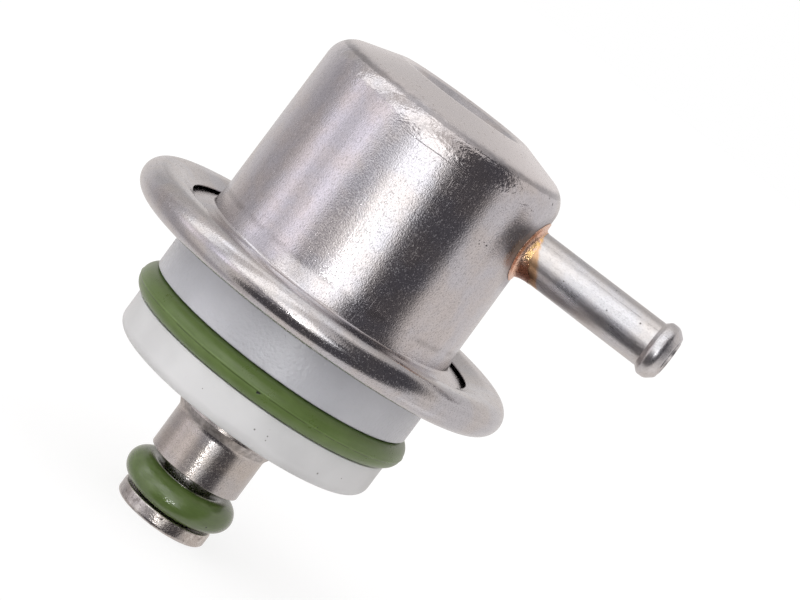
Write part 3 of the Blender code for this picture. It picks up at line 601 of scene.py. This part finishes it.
def can_marks_and_painted_light(board, here, base, rough, height):
    """A draw line, painted shade on the shoulder, a painted highlight and brown dots on its land, the shoulder's
    skin, painted shade at the waist, and by the braze a skin made rougher by the heat with a painted reflection
    of the tube.
    """
    x, y, z = board.parts(here)
    line_z, line_width, start, stop = 45.32, 0.045, -97, -58
    wander = board.swing(here, 0.4, 2, 0.5) * 0.24
    bearing = board.angle(y, x) * (180 / math.pi)
    along = board.ease(bearing, start, start + 8) * board.ease(bearing, stop, stop - 14)
    line = board.ease(abs(z - line_z - wander), line_width, line_width * 0.3) * along
    base = board.mix(line * 0.55, base, DRAW_LINE)
    edge_z, band_z, land_z, waist_z = 47.66, 47.95, 48.28, 30.15
    ragged = z + board.swing(here, 1.4, 3, 0.6) * 0.35
    # Painted shade: a darker band across the shoulder, just below the land
    band = board.ease(ragged, edge_z - 0.04, edge_z + 0.10) * board.ease(ragged, land_z + 0.10, band_z)
    base = board.mix(band * 0.50, base, SHOULDER_SHADE)
    # Painted highlight: the flat land inside the shoulder is painted near white, and brown dots sit on it
    land = board.ease(ragged, band_z, land_z + 0.15)
    reach = (x * x + y * y) ** 0.5
    base = board.mix(land * board.ease(reach, 6.15, 6.45) * 0.8, base, LAND_PAINTED_HIGHLIGHT)
    dots = board.ease(board.noise(here, 2.3, 2, 0.7), 0.63, 0.70) * land
    base = board.mix(dots * 0.45, base, BROWN_DOTS)
    # Painted shade: a patchy darker band round the waist, where the wall starts to curve out to the foot
    painted_light_mask = board.ease(board.noise(here, 0.5, 2, 0.5), 0.35, 0.55)
    base = board.mix(board.ease(abs(ragged - waist_z), 0.45, 0.05) * painted_light_mask * 0.28, base, WAIST_PAINTED_SHADE)
    # Round the braze the skin is rougher, and it is painted a little darker grey as a painted reflection of the
    # tube
    near_braze = board.ease((y * y + (z - NIPPLE_Z) ** 2) ** 0.5, 5.0, 3.4) * board.ease(x, 0, 2)
    base = board.mix(near_braze * 0.16, base, TUBE_PAINTED_REFLECTION)
    shoulder = board.ease(z, 45.0, 46.4) * board.ease(z, edge_z + 0.3, edge_z - 0.1)
    height = height + board.ease(z, edge_z - 0.05, edge_z + 0.05) * 0.01
    peel = board.swing(board.stretch(here, (1.5, 1.5, 3)), 1.0, 2, 0.6)
    rough = rough + near_braze * 0.22 - shoulder * 0.05
    return base, rough, height - line * 0.02 + peel * shoulder * 0.060


def fitting_wear(board, here, base, rough, height):
    """Dull burnt skin on the flare and bright rubbed patches on the end disc."""
    z = board.parts(here)[2]
    dull = board.ease(z, 10.45, 10.75) * board.ease(z, 11.50, 11.42)
    mottle = board.noise(here, 1.6, 3, 0.65)
    base = board.mix(dull * board.ease(mottle, 0.38, 0.60) * 0.45, base, BURNT_SKIN)
    disc = board.ease(z, 1.9, 1.6)
    base = board.mix(disc * board.ease(mottle, 0.55, 0.66) * 0.5, base, DISC_DIRT)
    base = board.mix(disc * board.ease(mottle, 0.46, 0.38) * 0.5, base, DISC_WORN)
    return base, rough + dull * 0.08, height + (mottle - 0.5) * disc * 0.03


def tube_tint(board, here, base, rough, height):
    """Gold and brown left on the tube by the heat of the brazing, and a fine drawn hairline."""
    x, y, z = board.parts(here)
    up = z - NIPPLE_Z
    ragged = x + board.swing(here, 1.1, 3, 0.6) * 0.9 + up * 0.30
    gold = board.ease(ragged + up * 0.25, 15.05, 14.65)
    base = board.mix(gold * 0.85, base, TUBE_GOLD)
    brown = board.ease(ragged, 15.15, 14.45) * board.ease(up, -0.2, -1.4)
    base = board.mix(brown * 0.7, base, TUBE_BROWN)
    broken = board.ease(board.noise(here, 0.8, 2, 0.6), 0.42, 0.56)
    line = board.ease(abs(up - 1.42 + y * 0.10), 0.030, 0.010) * broken
    return board.mix(line * 0.45, base, HAIRLINE), rough, height - line * 0.01


def plastic(name, colour, roughness, peel, peel_size, scatter, marks=(), shine=0.5):
    """Moulded plastic with an orange-peel skin, faint clouds and named specks of dirt."""
    material, board, shader = new_material(
        name, specular_ior_level=shine, subsurface_weight=scatter, subsurface_radius=(1.0, 1.0, 1.0),
        subsurface_scale=0.6 * MM,
    )
    here = board.place()
    skin = board.swing(here, 1 / peel_size, 2, 0.5)
    cloud = board.noise(here, 0.16, 3, 0.5)
    dust = board.noise(here, 2.1, 3, 0.7)
    base = board.mix(board.ease(cloud, 0.35, 0.7), colour, shade(colour, 0.90))
    base = board.mix(board.ease(dust, 0.66, 0.80) * 0.35, base, shade(colour, 0.62))
    rough = roughness + (cloud - 0.5) * 0.12 + skin * 0.06
    height = skin * (2 * peel)
    for *point, radius in marks:
        dirt = board.spot(here, point, radius)
        base = board.mix(dirt * 0.85, base, PLASTIC_DIRT)
        height = height - dirt * 0.02
    finish_material(board, shader, base, rough, height)
    return material


def rubber(name, colour, roughness, marks=(), line_z=None, shine=0.5, flow_depth=0.010):
    """Green seal rubber with a soft bloom and fine flow marks, and beside its moulding line a crease of painted
    shade and a band of painted highlight.
    """
    material, board, shader = new_material(name, specular_ior_level=shine)
    here = board.place()
    flow = board.noise(board.stretch(here, (0.5, 0.5, 4)), 1.0, 3, 0.6)
    skin = board.swing(here, 9.0, 2, 0.6)
    bloom = board.noise(here, 0.45, 3, 0.55)
    base = board.mix(board.ease(flow, 0.3, 0.7) * 0.4, colour, shade(colour, 0.80))
    base = board.mix(board.ease(bloom, 0.45, 0.75) * 0.4, base, shade(colour, 1.22, 0.012))
    rough = roughness + (bloom - 0.5) * 0.12 + skin * 0.08
    height = skin * 0.012 + (flow - 0.5) * flow_depth
    if line_z is not None:
        above = board.parts(here)[2] - line_z
        broken = board.ease(board.noise(here, 0.9, 2, 0.5), 0.36, 0.50)
        # Painted shade in the crease just under the moulding line
        crease = board.ease(abs(above + 0.13), 0.07, 0.02) * broken
        base = board.mix(crease * 0.65, base, shade(colour, 0.30))
        # Painted highlight in a band along the moulding line
        painted_light_mask = board.ease(abs(above - 0.03), 0.09, 0.02) * (1 - broken * 0.6)
        base = board.mix(painted_light_mask * 0.30, base, shade(colour, 2.0, 0.03))
    for *point, radius in marks:
        speck = board.spot(here, point, radius)
        base = board.mix(speck, base, SEAL_DIRT)
        height = height - speck * 0.05
    finish_material(board, shader, base, rough, height)
    return material


def copper_braze(name, colour):
    """Copper that flowed and froze: bright skin, darker burnt patches, gold where it thins out."""
    material, board, shader = new_material(name, metallic=1.0)
    here = board.place()
    x, y, z = board.parts(here)
    patch = board.noise(here, 0.75, 3, 0.6)
    ripples = board.noise(here, 2.6, 3, 0.6)
    fine = board.noise(here, 8.0, 2, 0.6)
    burnt = (colour[0] * 0.42, colour[1] * 0.26, colour[2] * 0.20)
    up = z - NIPPLE_Z
    on_tube = board.ease((x * x + y * y) ** 0.5, 13.55, 13.95)
    base = board.mix(board.ease(patch, 0.40, 0.60), PALE_COPPER, colour)
    base = board.mix(on_tube * board.ease(patch + up * 0.10, 0.56, 0.40), base, burnt)
    base = board.mix(on_tube * board.ease(up, -1.3, 0.2) * board.ease(ripples, 0.38, 0.55), base, THIN_GOLD)
    rough = 0.20 + board.ease(fine, 0.3, 0.8) * 0.14
    height = (ripples - 0.5) * 0.12 + (fine - 0.5) * 0.016
    finish_material(board, shader, base, rough, height)
    return material


class REGULATOR_OT_spring_can(bpy.types.Operator):
    """Drawn can with its flange, wall, shoulder and the shallow recess in its top"""

    bl_idname = "regulator.spring_can"
    bl_label = "Spring can"

    def execute(self, context):
        colours = context.scene.regulator_colours
        edge = context.scene.regulator_finish.sheet_edge / MM
        path = rounded([
            (0, RECESS_Z, 0),
            (5.00, RECESS_Z, 0.50),
            (6.05, 49.50, 0.14),
            (7.10, TOP_Z, 1.30),
            (CAN_TOP_R, SHOULDER_Z, 2.70),
            (CAN_R, CAN_WAIST_Z, 5.50),
            (CAN_R + 0.22, CAN_FOOT_Z, 0.30),
            (LIP_R, FLANGE_TOP_Z, 1.20),
            (19.10, FLANGE_TOP_Z, 0),
        ])
        pits = (
            (10.85, -7.78, 40.97, 0.09, 0.02),
            (10.55, -8.16, 41.10, 0.06, 0.02),
            (10.30, -8.48, 40.75, 0.07, 0.02),
            (10.18, -8.64, 41.05, 0.05, 0.02),
            (5.36, -11.48, 47.61, 0.08, 0.03),
            (5.62, -11.30, 47.68, 0.08, 0.03),
            (5.86, -11.12, 47.74, 0.07, 0.03),
            (12.74, -2.48, 47.22, 0.13, 0.02),
            (12.30, -3.38, 47.56, 0.08, 0.02),
        )
        material = steel(
            "drawn_stainless", colours.can_steel, roughness=0.18, grain=0.012, grain_size=0.145, lines=0.004,
            scratches=0.002, wear=can_marks_and_painted_light, marks=pits,
        )
        can = add_piece("spring_can_drawn", revolve(sheet(path, -0.90, edge), AROUND), material, "spring_can")
        hole, hole_r = bmesh.new(), 2.48
        cylinder(hole, hole_r, 8, 64, on_nipple(12.5))
        drilled(can, hole)
        return {"FINISHED"}


class REGULATOR_OT_hose_nipple(bpy.types.Operator):
    """Tube with the rolled bead at its mouth"""

    bl_idname = "regulator.hose_nipple"
    bl_label = "Hose nipple"

    def execute(self, context):
        outline = rounded([
            (BORE_R, 11.94, 0),
            (NIPPLE_R, 11.94, 0.1),
            (NIPPLE_R, 27.62, 0.05),
            (2.90, 28.12, 0.45),
            (2.90, 28.98, 0.95),
            (2.12, 29.88, 0.16),
            (1.98, 29.60, 0.03),
            (1.88, 29.60, 0.03),
            (1.80, 29.86, 0.05),
            (1.66, 29.86, 0.05),
            (BORE_R, 29.60, 0.05),
        ])
        mesh_data = revolve(outline, SMALL_AROUND)
        mesh_data.transform(on_nipple(0) @ Matrix.Translation((-AXIS_X * MM, 0, 0)))
        pits = (
            (22.18, -1.10, 44.36, 0.08, 0.02),
            (22.69, -2.42, 42.44, 0.07, 0.02),
            (17.87, -2.43, 42.15, 0.07, 0.02),
            (25.89, -2.13, 43.37, 0.08, 0.02),
        )
        material = steel(
            "drawn_tube_steel", context.scene.regulator_colours.tube_steel, roughness=0.29, grain=0.008,
            grain_size=0.145, lines=0.003, way="out", speckle=0.14, wear=tube_tint, marks=pits,
        )
        add_piece("hose_nipple_tube", mesh_data, material, "hose_nipple", crease=40)
        return {"FINISHED"}


class REGULATOR_OT_nipple_braze(bpy.types.Operator):
    """Copper that ran round the joint between the nipple and the can"""

    bl_idname = "regulator.nipple_braze"
    bl_label = "Nipple braze"

    def execute(self, context):
        finish = context.scene.regulator_finish
        on_can = finish.braze_on_can / MM
        on_tube = finish.braze_on_tube / MM
        inner_r = NIPPLE_R + 0.02
        mesh_data = bmesh.new()
        rings = []
        for step in range(SMALL_AROUND):
            angle = 2 * math.pi * step / SMALL_AROUND
            across, up = math.cos(angle), math.sin(angle)
            wander = noise.fractal(Vector((across * 1.6, up * 1.6, 4.0)), 1.0, 2.0, 4)
            creep = noise.fractal(Vector((across * 2.1, up * 2.1, 9.0)), 1.0, 2.0, 4)
            can_reach = on_can * (1 + 0.22 * wander)
            tube_reach = on_tube * (1 + 0.32 * creep) * (0.72 - 0.42 * up)

            def wall_x(radius):
                wall = can_radius(NIPPLE_Z + radius * up) + 0.015
                return math.sqrt(wall ** 2 - (radius * across) ** 2)

            ring = [(inner_r, wall_x(inner_r))]
            flat = inner_r + can_reach * 0.55
            for share in (1.0, 0.97, 0.90, 0.80, 0.68, 0.55):
                radius = inner_r + can_reach * share
                above_wall = 0.015 if share == 1.0 else 0.07 + 0.03 * (0.97 - share)
                ring.append((radius, wall_x(radius) + above_wall))
            foot_x = wall_x(flat) + 0.085
            for sweep in range(1, 13):
                share = sweep / 12
                radius = inner_r + 0.012 + (flat - inner_r - 0.012) * (1 - share) ** 2.1
                x = foot_x + (wall_x(inner_r) + tube_reach - foot_x) * share ** 1.55
                ring.append((radius, x))
            ring.append((inner_r, ring[-1][1]))
            rings.append([
                vertex(mesh_data, x, radius * across, NIPPLE_Z + radius * up) for radius, x in ring
            ])
        bridge(mesh_data, rings, len(rings[0]))
        material = copper_braze("copper_braze", context.scene.regulator_colours.copper)
        add_piece("nipple_braze_fillet", mesh_data, material, "nipple_braze", crease=50)
        return {"FINISHED"}


class REGULATOR_OT_lower_housing(bpy.types.Operator):
    """Drawn cup whose rim is rolled over the can's flange"""

    bl_idname = "regulator.lower_housing"
    bl_label = "Lower housing"

    def execute(self, context):
        gauge, roll, floor_r = 0.80, 1.772, 5.20
        outline = rounded([
            (floor_r, CUP_FLOOR_Z, 0.06),
            (HOUSING_R, CUP_FLOOR_Z, 1.50),
            (HOUSING_R, FLANGE_Z, 0.85),
            (RIM_R, FLANGE_Z, roll),
            (RIM_R, RIM_TOP_Z, roll),
            (17.90, RIM_TOP_Z, 2.20),
            (LIP_R, 28.08, 0.10),
            (LIP_R + 0.08, 27.90, 0.06),
            (RIM_R - gauge, RIM_TOP_Z - gauge, roll - gauge),
            (RIM_R - gauge, FLANGE_Z + gauge, roll - gauge),
            (HOUSING_R - gauge, FLANGE_Z + gauge, 1.65),
            (HOUSING_R - gauge, CUP_FLOOR_Z + gauge, 0.70),
            (floor_r, CUP_FLOOR_Z + gauge, 0.06),
        ])
        material = steel(
            "rolled_stainless", context.scene.regulator_colours.rim_steel, roughness=0.17, grain_size=0.145,
            lines=0.0018, way="round", scratches=0.002,
        )
        housing = add_piece("lower_housing_rolled", revolve(outline, AROUND), material, "lower_housing")
        holes, circle_r, hole_r = bmesh.new(), 9.30, 1.50
        for bearing in BEARINGS:
            x, y, z = circle_r * math.cos(bearing), circle_r * math.sin(bearing), 15.0
            middle = Matrix.Translation(((AXIS_X + x) * MM, y * MM, z * MM))
            cylinder(holes, hole_r, 3.0, HOLE_AROUND, middle)
        drilled(housing, holes)
        return {"FINISHED"}


class REGULATOR_OT_upper_ring(bpy.types.Operator):
    """Plastic spacer ring between the flange and the large O-ring"""

    bl_idname = "regulator.upper_ring"
    bl_label = "Upper ring"

    def execute(self, context):
        low_z, top_z = 20.26, 25.10
        outline = rounded([
            (RING_BORE_R, low_z, 0.1),
            (SPACER_R, low_z, 0.18),
            (SPACER_R, top_z, 0.18),
            (13.45, top_z, 0.1),
            (RING_BORE_R, 24.25, 0.1),
        ])
        spacer = context.scene.regulator_colours.spacer
        material = plastic("spacer_plastic", spacer, 0.20, peel=0.040, peel_size=0.36, scatter=0.10, shine=0.95)
        add_piece("upper_ring_moulded", revolve(outline, AROUND), material, "upper_ring")
        return {"FINISHED"}


class REGULATOR_OT_strainer(bpy.types.Operator):
    """Lower plastic ring with the windows in its floor, and the woven strainer over them"""

    bl_idname = "regulator.strainer"
    bl_label = "Strainer"

    def execute(self, context):
        low_z, floor_z, top_z = 13.40, 14.30, 17.29
        outline = rounded([
            (HUB_R, low_z, 0.15),
            (STRAINER_R, low_z, 1.25),
            (STRAINER_R, top_z, 0.12),
            (RING_BORE_R, top_z, 0.10),
            (RING_BORE_R, floor_z, 0.10),
            (HUB_R, floor_z, 0.10),
        ])
        specks = (
            (-1.23, -14.35, 15.49, 0.05),
            (6.00, -13.09, 15.50, 0.07),
            (4.74, -13.60, 15.36, 0.08),
            (6.07, -13.06, 15.08, 0.06),
            (11.14, -9.12, 14.88, 0.09),
            (12.85, -6.51, 15.38, 0.06),
            (-9.60, 10.73, 15.60, 0.07),
            (-13.90, -3.76, 15.10, 0.06),
        )
        strainer = context.scene.regulator_colours.strainer
        material = plastic(
            "strainer_plastic", strainer, 0.34, peel=0.0045, peel_size=0.6, scatter=0.25, marks=specks)
        moulded = add_piece("strainer_frame_moulded", revolve(outline, AROUND), material, "strainer_frame")
        windows, half_spoke = bmesh.new(), 0.80
        for bearing in BEARINGS:
            corners = []
            for radius, order in ((9.10, 1), (12.10, -1)):
                half = math.pi / len(BEARINGS) - math.asin(half_spoke / radius)
                for step in range(11):
                    angle = bearing + order * half * (step / 5 - 1)
                    x, y = radius * math.cos(angle), radius * math.sin(angle)
                    corners.append(vertex(windows, x, y, low_z - 1))
            grown = bmesh.ops.extrude_face_region(windows, geom=[windows.faces.new(corners)])
            tops = [item for item in grown["geom"] if isinstance(item, bmesh.types.BMVert)]
            bmesh.ops.translate(windows, verts=tops, vec=(0, 0, 3 * MM))
        drilled(moulded, windows)
        self.weave(context)
        return {"FINISHED"}

    def weave(self, context):
        """Plain-woven wires over the ring between the hub and the housing's wall."""
        pitch = context.scene.regulator_finish.weave_pitch / MM
        wire_r, inner_r, outer_r, level = 0.034, 8.22, 12.38, 14.425
        mesh_data = bmesh.new()
        count = int(outer_r / pitch)
        for direction in (0, 1):
            for number in range(-count, count + 1):
                offset_y = number * pitch
                reach = math.sqrt(max(outer_r ** 2 - offset_y ** 2, 0))
                hole = math.sqrt(max(inner_r ** 2 - offset_y ** 2, 0))
                spans = [(-reach, -hole), (hole, reach)] if hole > 0 else [(-reach, reach)]
                for start, stop in spans:
                    steps = int((stop - start) / (pitch / 2))
                    if steps < 2:
                        continue
                    before = None
                    for step in range(steps + 1):
                        along = start + (stop - start) * step / steps
                        phase = math.pi * (along / pitch + number + direction)
                        height = level + wire_r * math.cos(phase)
                        ring = []
                        for side in range(4):
                            turn = math.pi * (side + 0.5) / 2
                            aside = offset_y + wire_r * math.cos(turn)
                            lift = height + wire_r * math.sin(turn)
                            x, y = (along, aside) if direction == 0 else (aside, along)
                            ring.append(vertex(mesh_data, x, y, lift))
                        if before is None:
                            mesh_data.faces.new(ring)
                        else:
                            for side in range(4):
                                other = (side + 1) % 4
                                mesh_data.faces.new((before[side], before[other], ring[other], ring[side]))
                        before = ring
                    mesh_data.faces.new(list(reversed(before)))
        material = steel("strainer_wire", (0.50, 0.49, 0.47), 0.35, grain=0.001, lines=0.0, scratches=0.0)
        add_piece("strainer_mesh_woven", mesh_data, material, "strainer_mesh", crease=60)


class REGULATOR_OT_seals(bpy.types.Operator):
    """The two green O-rings"""

    bl_idname = "regulator.seals"
    bl_label = "Seals"

    def execute(self, context):
        seal = context.scene.regulator_colours.seal
        ridge = context.scene.regulator_finish.parting_line / MM
        half = 1.43
        large = oval(LARGE_SEAL_R - half - ridge, LARGE_SEAL_Z, half, half, 40, ridge)
        specks = ((3.19, -14.99, 18.48, 0.13), (3.36, -14.95, 18.52, 0.10), (9.10, -12.40, 18.90, 0.06))
        material = rubber("large_seal_rubber", seal, 0.30, marks=specks, line_z=LARGE_SEAL_Z)
        add_piece("large_o_ring_moulded", revolve(large, AROUND), material, "large_o_ring", crease=60)
        half_r = (SMALL_SEAL_R - GROOVE_R - 0.05) / 2
        small = oval(SMALL_SEAL_R - half_r, SMALL_SEAL_Z, half_r, 1.60, 44)
        lowest, deepest = math.radians(-80), 0.20

        def sag(angle):
            return -deepest * max(0.0, math.cos(angle - lowest)) ** 2

        material = rubber(
            "small_seal_rubber", shade(seal, 0.86), 0.13, marks=((4.82, -3.36, 2.90, 0.08),), shine=0.85,
            flow_depth=0.030,
        )
        add_piece("small_o_ring_moulded", revolve(small, SMALL_AROUND, sag), material, "small_o_ring", crease=60)
        return {"FINISHED"}


class REGULATOR_OT_return_fitting(bpy.types.Operator):
    """Turned fitting with its end disc, seal groove, shank, flare, collar and stem"""

    bl_idname = "regulator.return_fitting"
    bl_label = "Return fitting"

    def execute(self, context):
        outline = rounded([
            (BORE_R, 0.35, 0),
            (1.95, 0, 0),
            (FITTING_R, 0, 0.40),
            (FITTING_R, 1.55, 0.22),
            (GROOVE_R, 1.55, 0.20),
            (GROOVE_R, 5.86, 0.20),
            (FITTING_R, 5.86, 0.10),
            (FITTING_R, 10.42, 1.00),
            (5.60, 11.46, 0.06),
            (5.60, 12.90, 0.10),
            (7.20, 12.90, 0.10),
            (7.20, 14.45, 0.10),
            (5.10, 14.45, 0),
            (5.10, 16.55, 0),
            (4.20, 16.55, 0),
            (4.20, 22.00, 0.30),
            (2.95, 22.00, 0),
            (2.95, 21.00, 0),
            (BORE_R, 21.00, 0),
        ])
        pits = (
            (1.19, -4.80, 1.15, 0.09, 0.02),
            (-1.30, -4.78, 0.92, 0.06, 0.02),
            (3.20, -3.78, 0.95, 0.07, 0.02),
        )
        material = steel(
            "turned_steel", context.scene.regulator_colours.turned_steel, roughness=0.25, grain_size=0.145,
            lines=0.0015, way="round", speckle=0.18, scratches=0.002, wear=fitting_wear, marks=pits,
        )
        add_piece("return_fitting_turned", revolve(outline, SMALL_AROUND), material, "return_fitting", crease=28)
        return {"FINISHED"}


class REGULATOR_OT_inner_pieces(bpy.types.Operator):
    """Finishes of the pieces inside, which keep their solids' shapes"""

    bl_idname = "regulator.inner_pieces"
    bl_label = "Inner pieces"

    def execute(self, context):
        copper = context.scene.regulator_colours.copper
        finishes = {
            "fitting_braze": copper_braze("inner_braze", copper),
            "valve_seat": steel("seat_steel", (0.42, 0.41, 0.40), 0.20, lines=0.0008, way="round"),
            "diaphragm": rubber("diaphragm_rubber", (0.030, 0.030, 0.030), 0.55),
            "lower_plate": steel("lower_plate_steel", (0.48, 0.48, 0.46), 0.32, way="round"),
            "upper_plate": steel("upper_plate_steel", (0.50, 0.49, 0.46), 0.34, way="round"),
            "spring_cup": steel("plated_cup_steel", (0.54, 0.51, 0.42), 0.30),
            "valve_holder": steel("holder_steel", (0.50, 0.49, 0.47), 0.26, way="round"),
            "ball_retainer": steel("retainer_steel", (0.35, 0.35, 0.36), 0.28),
            "valve_plate": steel("valve_steel", (0.55, 0.54, 0.53), 0.16, lines=0.0006, way="round"),
            "valve_ball": steel(
                "ball_steel", (0.62, 0.62, 0.62), 0.08, grain=0.0004, lines=0.0002, scratches=0.0),
            "main_spring": steel("spring_steel", (0.30, 0.30, 0.32), 0.30, lines=0.0006),
            "ball_spring": steel("fine_spring_wire", (0.36, 0.36, 0.38), 0.28, lines=0.0004),
        }
        for node, material in finishes.items():
            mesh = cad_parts[node].data
            mesh.materials.clear()
            mesh.materials.append(material)
        return {"FINISHED"}


class REGULATOR_OT_studio(bpy.types.Operator):
    """Floor, walls of light and the camera at the photograph's angle"""

    bl_idname = "regulator.studio"
    bl_label = "Studio"

    def execute(self, context):
        scene = context.scene
        self.camera(scene, scene.regulator_studio)
        self.floor()
        self.walls(scene, scene.regulator_studio)
        self.lamps(scene, scene.regulator_studio)
        scene.view_settings.view_transform = "Standard"
        return {"FINISHED"}

    def camera(self, scene, studio):
        data = bpy.data.cameras.new("studio_camera")
        data.lens = studio.lens
        data.sensor_width = 36
        data.clip_start = 0.01
        data.clip_end = 20
        camera = linked("studio_camera", data)
        turn = Matrix.Rotation(studio.bearing, 4, "Z")
        place = turn @ Vector((0, -studio.distance, 0)) + Vector((AXIS_X * MM, 0, studio.height))
        aside = Matrix.Rotation(-studio.aim, 4, "Z")
        down = Matrix.Rotation(math.pi / 2 + studio.pitch, 4, "X")
        roll = Matrix.Rotation(studio.roll, 4, "Z")
        camera.matrix_world = Matrix.Translation(place) @ turn @ aside @ down @ roll
        scene.camera = camera

    def floor(self):
        mesh = bpy.data.meshes.new("studio_floor")
        half = 3.0
        corners = [(-half, -half, 0), (half, -half, 0), (half, half, 0), (-half, half, 0)]
        mesh.from_pydata(corners, [], [(0, 1, 2, 3)])
        floor = linked("studio_floor", mesh)
        floor.location.z = -0.01 * MM
        material = bpy.data.materials.new("studio_floor")
        material.use_nodes = True
        board = Board(material.node_tree)
        nodes = material.node_tree.nodes
        nodes.remove(nodes["Principled BSDF"])
        seen = board.node("ShaderNodeLightPath")
        colour = board.mix(seen, (0.80, 0.80, 0.80), (0.25, 0.25, 0.25))
        matt = board.node("ShaderNodeBsdfDiffuse", None, {"Color": colour})
        glow = board.node("ShaderNodeEmission", None, {"Color": (1, 1, 1, 1), "Strength": seen * 0.80})
        both = board.node("ShaderNodeAddShader", None, {0: matt, 1: glow})
        board.plug(nodes["Material Output"].inputs["Surface"], both)
        mesh.materials.append(material)
        floor.visible_glossy = False

    def lamps(self, scene, studio):
        """Broad soft lamps that the bare metal doesn't show, and a small one that glints on every skin."""
        camera = scene.camera.matrix_world.to_3x3()
        for name, aside, above, strength, spread in (
            ("front_lamp", math.radians(-28), math.radians(20), studio.front, math.radians(100)),
            ("side_lamp", math.radians(48), math.radians(-6), studio.side, math.radians(100)),
            ("glint_lamp", math.radians(-13), math.radians(-15), studio.glint, math.radians(6)),
        ):
            data = bpy.data.lights.new(name, "SUN")
            data.energy = strength * math.pi
            data.angle = spread
            lamp = linked(name, data)
            level = math.cos(above)
            towards = camera @ Vector((math.sin(aside) * level, math.sin(above), math.cos(aside) * level))
            lamp.rotation_euler = towards.to_track_quat("Z", "Y").to_euler()
            lamp.visible_glossy = name == "glint_lamp"

    def walls(self, scene, studio):
        """World light by direction: a pale tent with its dark mouth and lights for the metal to show.

        Behind the object the camera sees plain white. Directions are in degrees to the right of the camera
        and above it, in the picture's own upright, so that each light has level edges.
        """
        world = bpy.data.worlds.new("studio_walls")
        scene.world = world
        world.use_nodes = True
        board = Board(world.node_tree)
        seen = board.node("ShaderNodeLightPath")
        ray = board.node("ShaderNodeTexCoord")
        turn = scene.camera.matrix_world.to_3x3()
        right, up, back = (
            board.vectors("DOT_PRODUCT", ray, tuple(turn.col[axis]), output=1) for axis in range(3)
        )
        across = board.angle(right, back) * (180 / math.pi)
        above = board.node("ShaderNodeMath", {"operation": "ARCSINE"}, {0: up}) * (180 / math.pi)

        def inside(value, low, high, soft):
            return board.ease(value, low - soft, low + soft) * board.ease(value, high + soft, high - soft)

        def panel(left, right_edge, low, high, soft, lean=0.0, climb=0.0):
            """1 inside the panel, whose sides lean with height and whose top and bottom climb to the right."""
            aside = across - above * lean if lean else across
            over = above - across * climb if climb else above
            return inside(aside, left, right_edge, soft) * inside(over, low, high, soft)

        def round_panel(middle, level, half_width, half_height, soft):
            reach = ((across - middle) / half_width) ** 2 + ((above - level) / half_height) ** 2
            return board.ease(reach, 1 + soft, 1 - soft)

        shapes = (
            (panel(-134, -96, 2, 72, 20), LEFT_WALL),
            (panel(-118, -90, -36, 40, 9), LEFT_WALL),
            (panel(95, 196, 22, 62, 14), BACK_WALL),
            (panel(-196, -138, 38, 72, 8), BACK_WALL),
            (panel(118, 170, -95, -62, 10), CORNER),
            (panel(-88, -40, 14, 44, 7), SIDE_WALL),
            (panel(-85, -72, 22, 40, 4), SIDE_LAMP),
            (panel(-54, -41, 9, 27, 3), STRIP_LAMP),
            (round_panel(-12, -39, 74, 35, 0.14), MOUTH),
            (panel(28, 87, -34, 26, 6, lean=0.56), MOUTH),
            (panel(-40, -22, -14, 14, 5), MOUTH_EDGE),
            (panel(-78, 118, 76, 100, 7), CEILING),
            (panel(-82, -46, 46, 84, 6), WINDOW),
            (panel(-46, -28, 52, 84, 6), CEILING_EDGE),
            (panel(50, 106, 50, 84, 7), HIGH_PATCH),
            (panel(-27, 14, 8, 30, 5), LAMP_GLOW),
            (panel(-36, 38, 27, 49, 5, climb=0.30), OVERHEAD),
            (panel(42, 78, 36, 57, 7), HIGH_PATCH),
            (panel(-17.5, 10, -27, 10, 3.2), MAIN_LAMP),
        )
        light = TENT
        for mask, level in shapes:
            light = board.mix(mask, light, level)
        light = board.mix(seen, light, (1, 1, 1))
        background = world.node_tree.nodes["Background"]
        board.plug(background.inputs["Color"], light)
        board.plug(background.inputs["Strength"], seen + (1 - seen) * studio.room)


class REGULATOR_PT_pieces(bpy.types.Panel):
    """Lists the regulator's pieces and settings"""

    bl_idname = "REGULATOR_PT_pieces"
    bl_label = "Fuel Pressure Regulator"
    bl_space_type = "VIEW_3D"
    bl_region_type = "UI"
    bl_category = "Regulator"

    def draw(self, context):
        layout = self.layout
        for operator in OPERATORS:
            layout.operator(operator.bl_idname)
        for group in (
            context.scene.regulator_finish, context.scene.regulator_colours, context.scene.regulator_studio,
        ):
            box = layout.box()
            for name in group.bl_rna.properties.keys():
                if name not in ("rna_type", "name"):
                    box.prop(group, name)


GROUPS = {
    "regulator_finish": RegulatorFinish,
    "regulator_colours": RegulatorColours,
    "regulator_studio": RegulatorStudio,
}
OPERATORS = (
    REGULATOR_OT_studio,
    REGULATOR_OT_spring_can,
    REGULATOR_OT_hose_nipple,
    REGULATOR_OT_nipple_braze,
    REGULATOR_OT_lower_housing,
    REGULATOR_OT_upper_ring,
    REGULATOR_OT_strainer,
    REGULATOR_OT_seals,
    REGULATOR_OT_return_fitting,
    REGULATOR_OT_inner_pieces,
)


def register():
    for name, group in GROUPS.items():
        bpy.utils.register_class(group)
        setattr(bpy.types.Scene, name, bpy.props.PointerProperty(type=group))
    for operator in OPERATORS:
        bpy.utils.register_class(operator)
    bpy.utils.register_class(REGULATOR_PT_pieces)


def unregister():
    bpy.utils.unregister_class(REGULATOR_PT_pieces)
    for operator in reversed(OPERATORS):
        bpy.utils.unregister_class(operator)
    for name, group in GROUPS.items():
        delattr(bpy.types.Scene, name)
        bpy.utils.unregister_class(group)


def main():
    register()
    bpy.ops.regulator.studio()
    bpy.ops.regulator.spring_can()
    bpy.ops.regulator.hose_nipple()
    bpy.ops.regulator.nipple_braze()
    bpy.ops.regulator.lower_housing()
    bpy.ops.regulator.upper_ring()
    bpy.ops.regulator.strainer()
    bpy.ops.regulator.seals()
    bpy.ops.regulator.return_fitting()
    bpy.ops.regulator.inner_pieces()


if __name__ == "__main__":
    main()
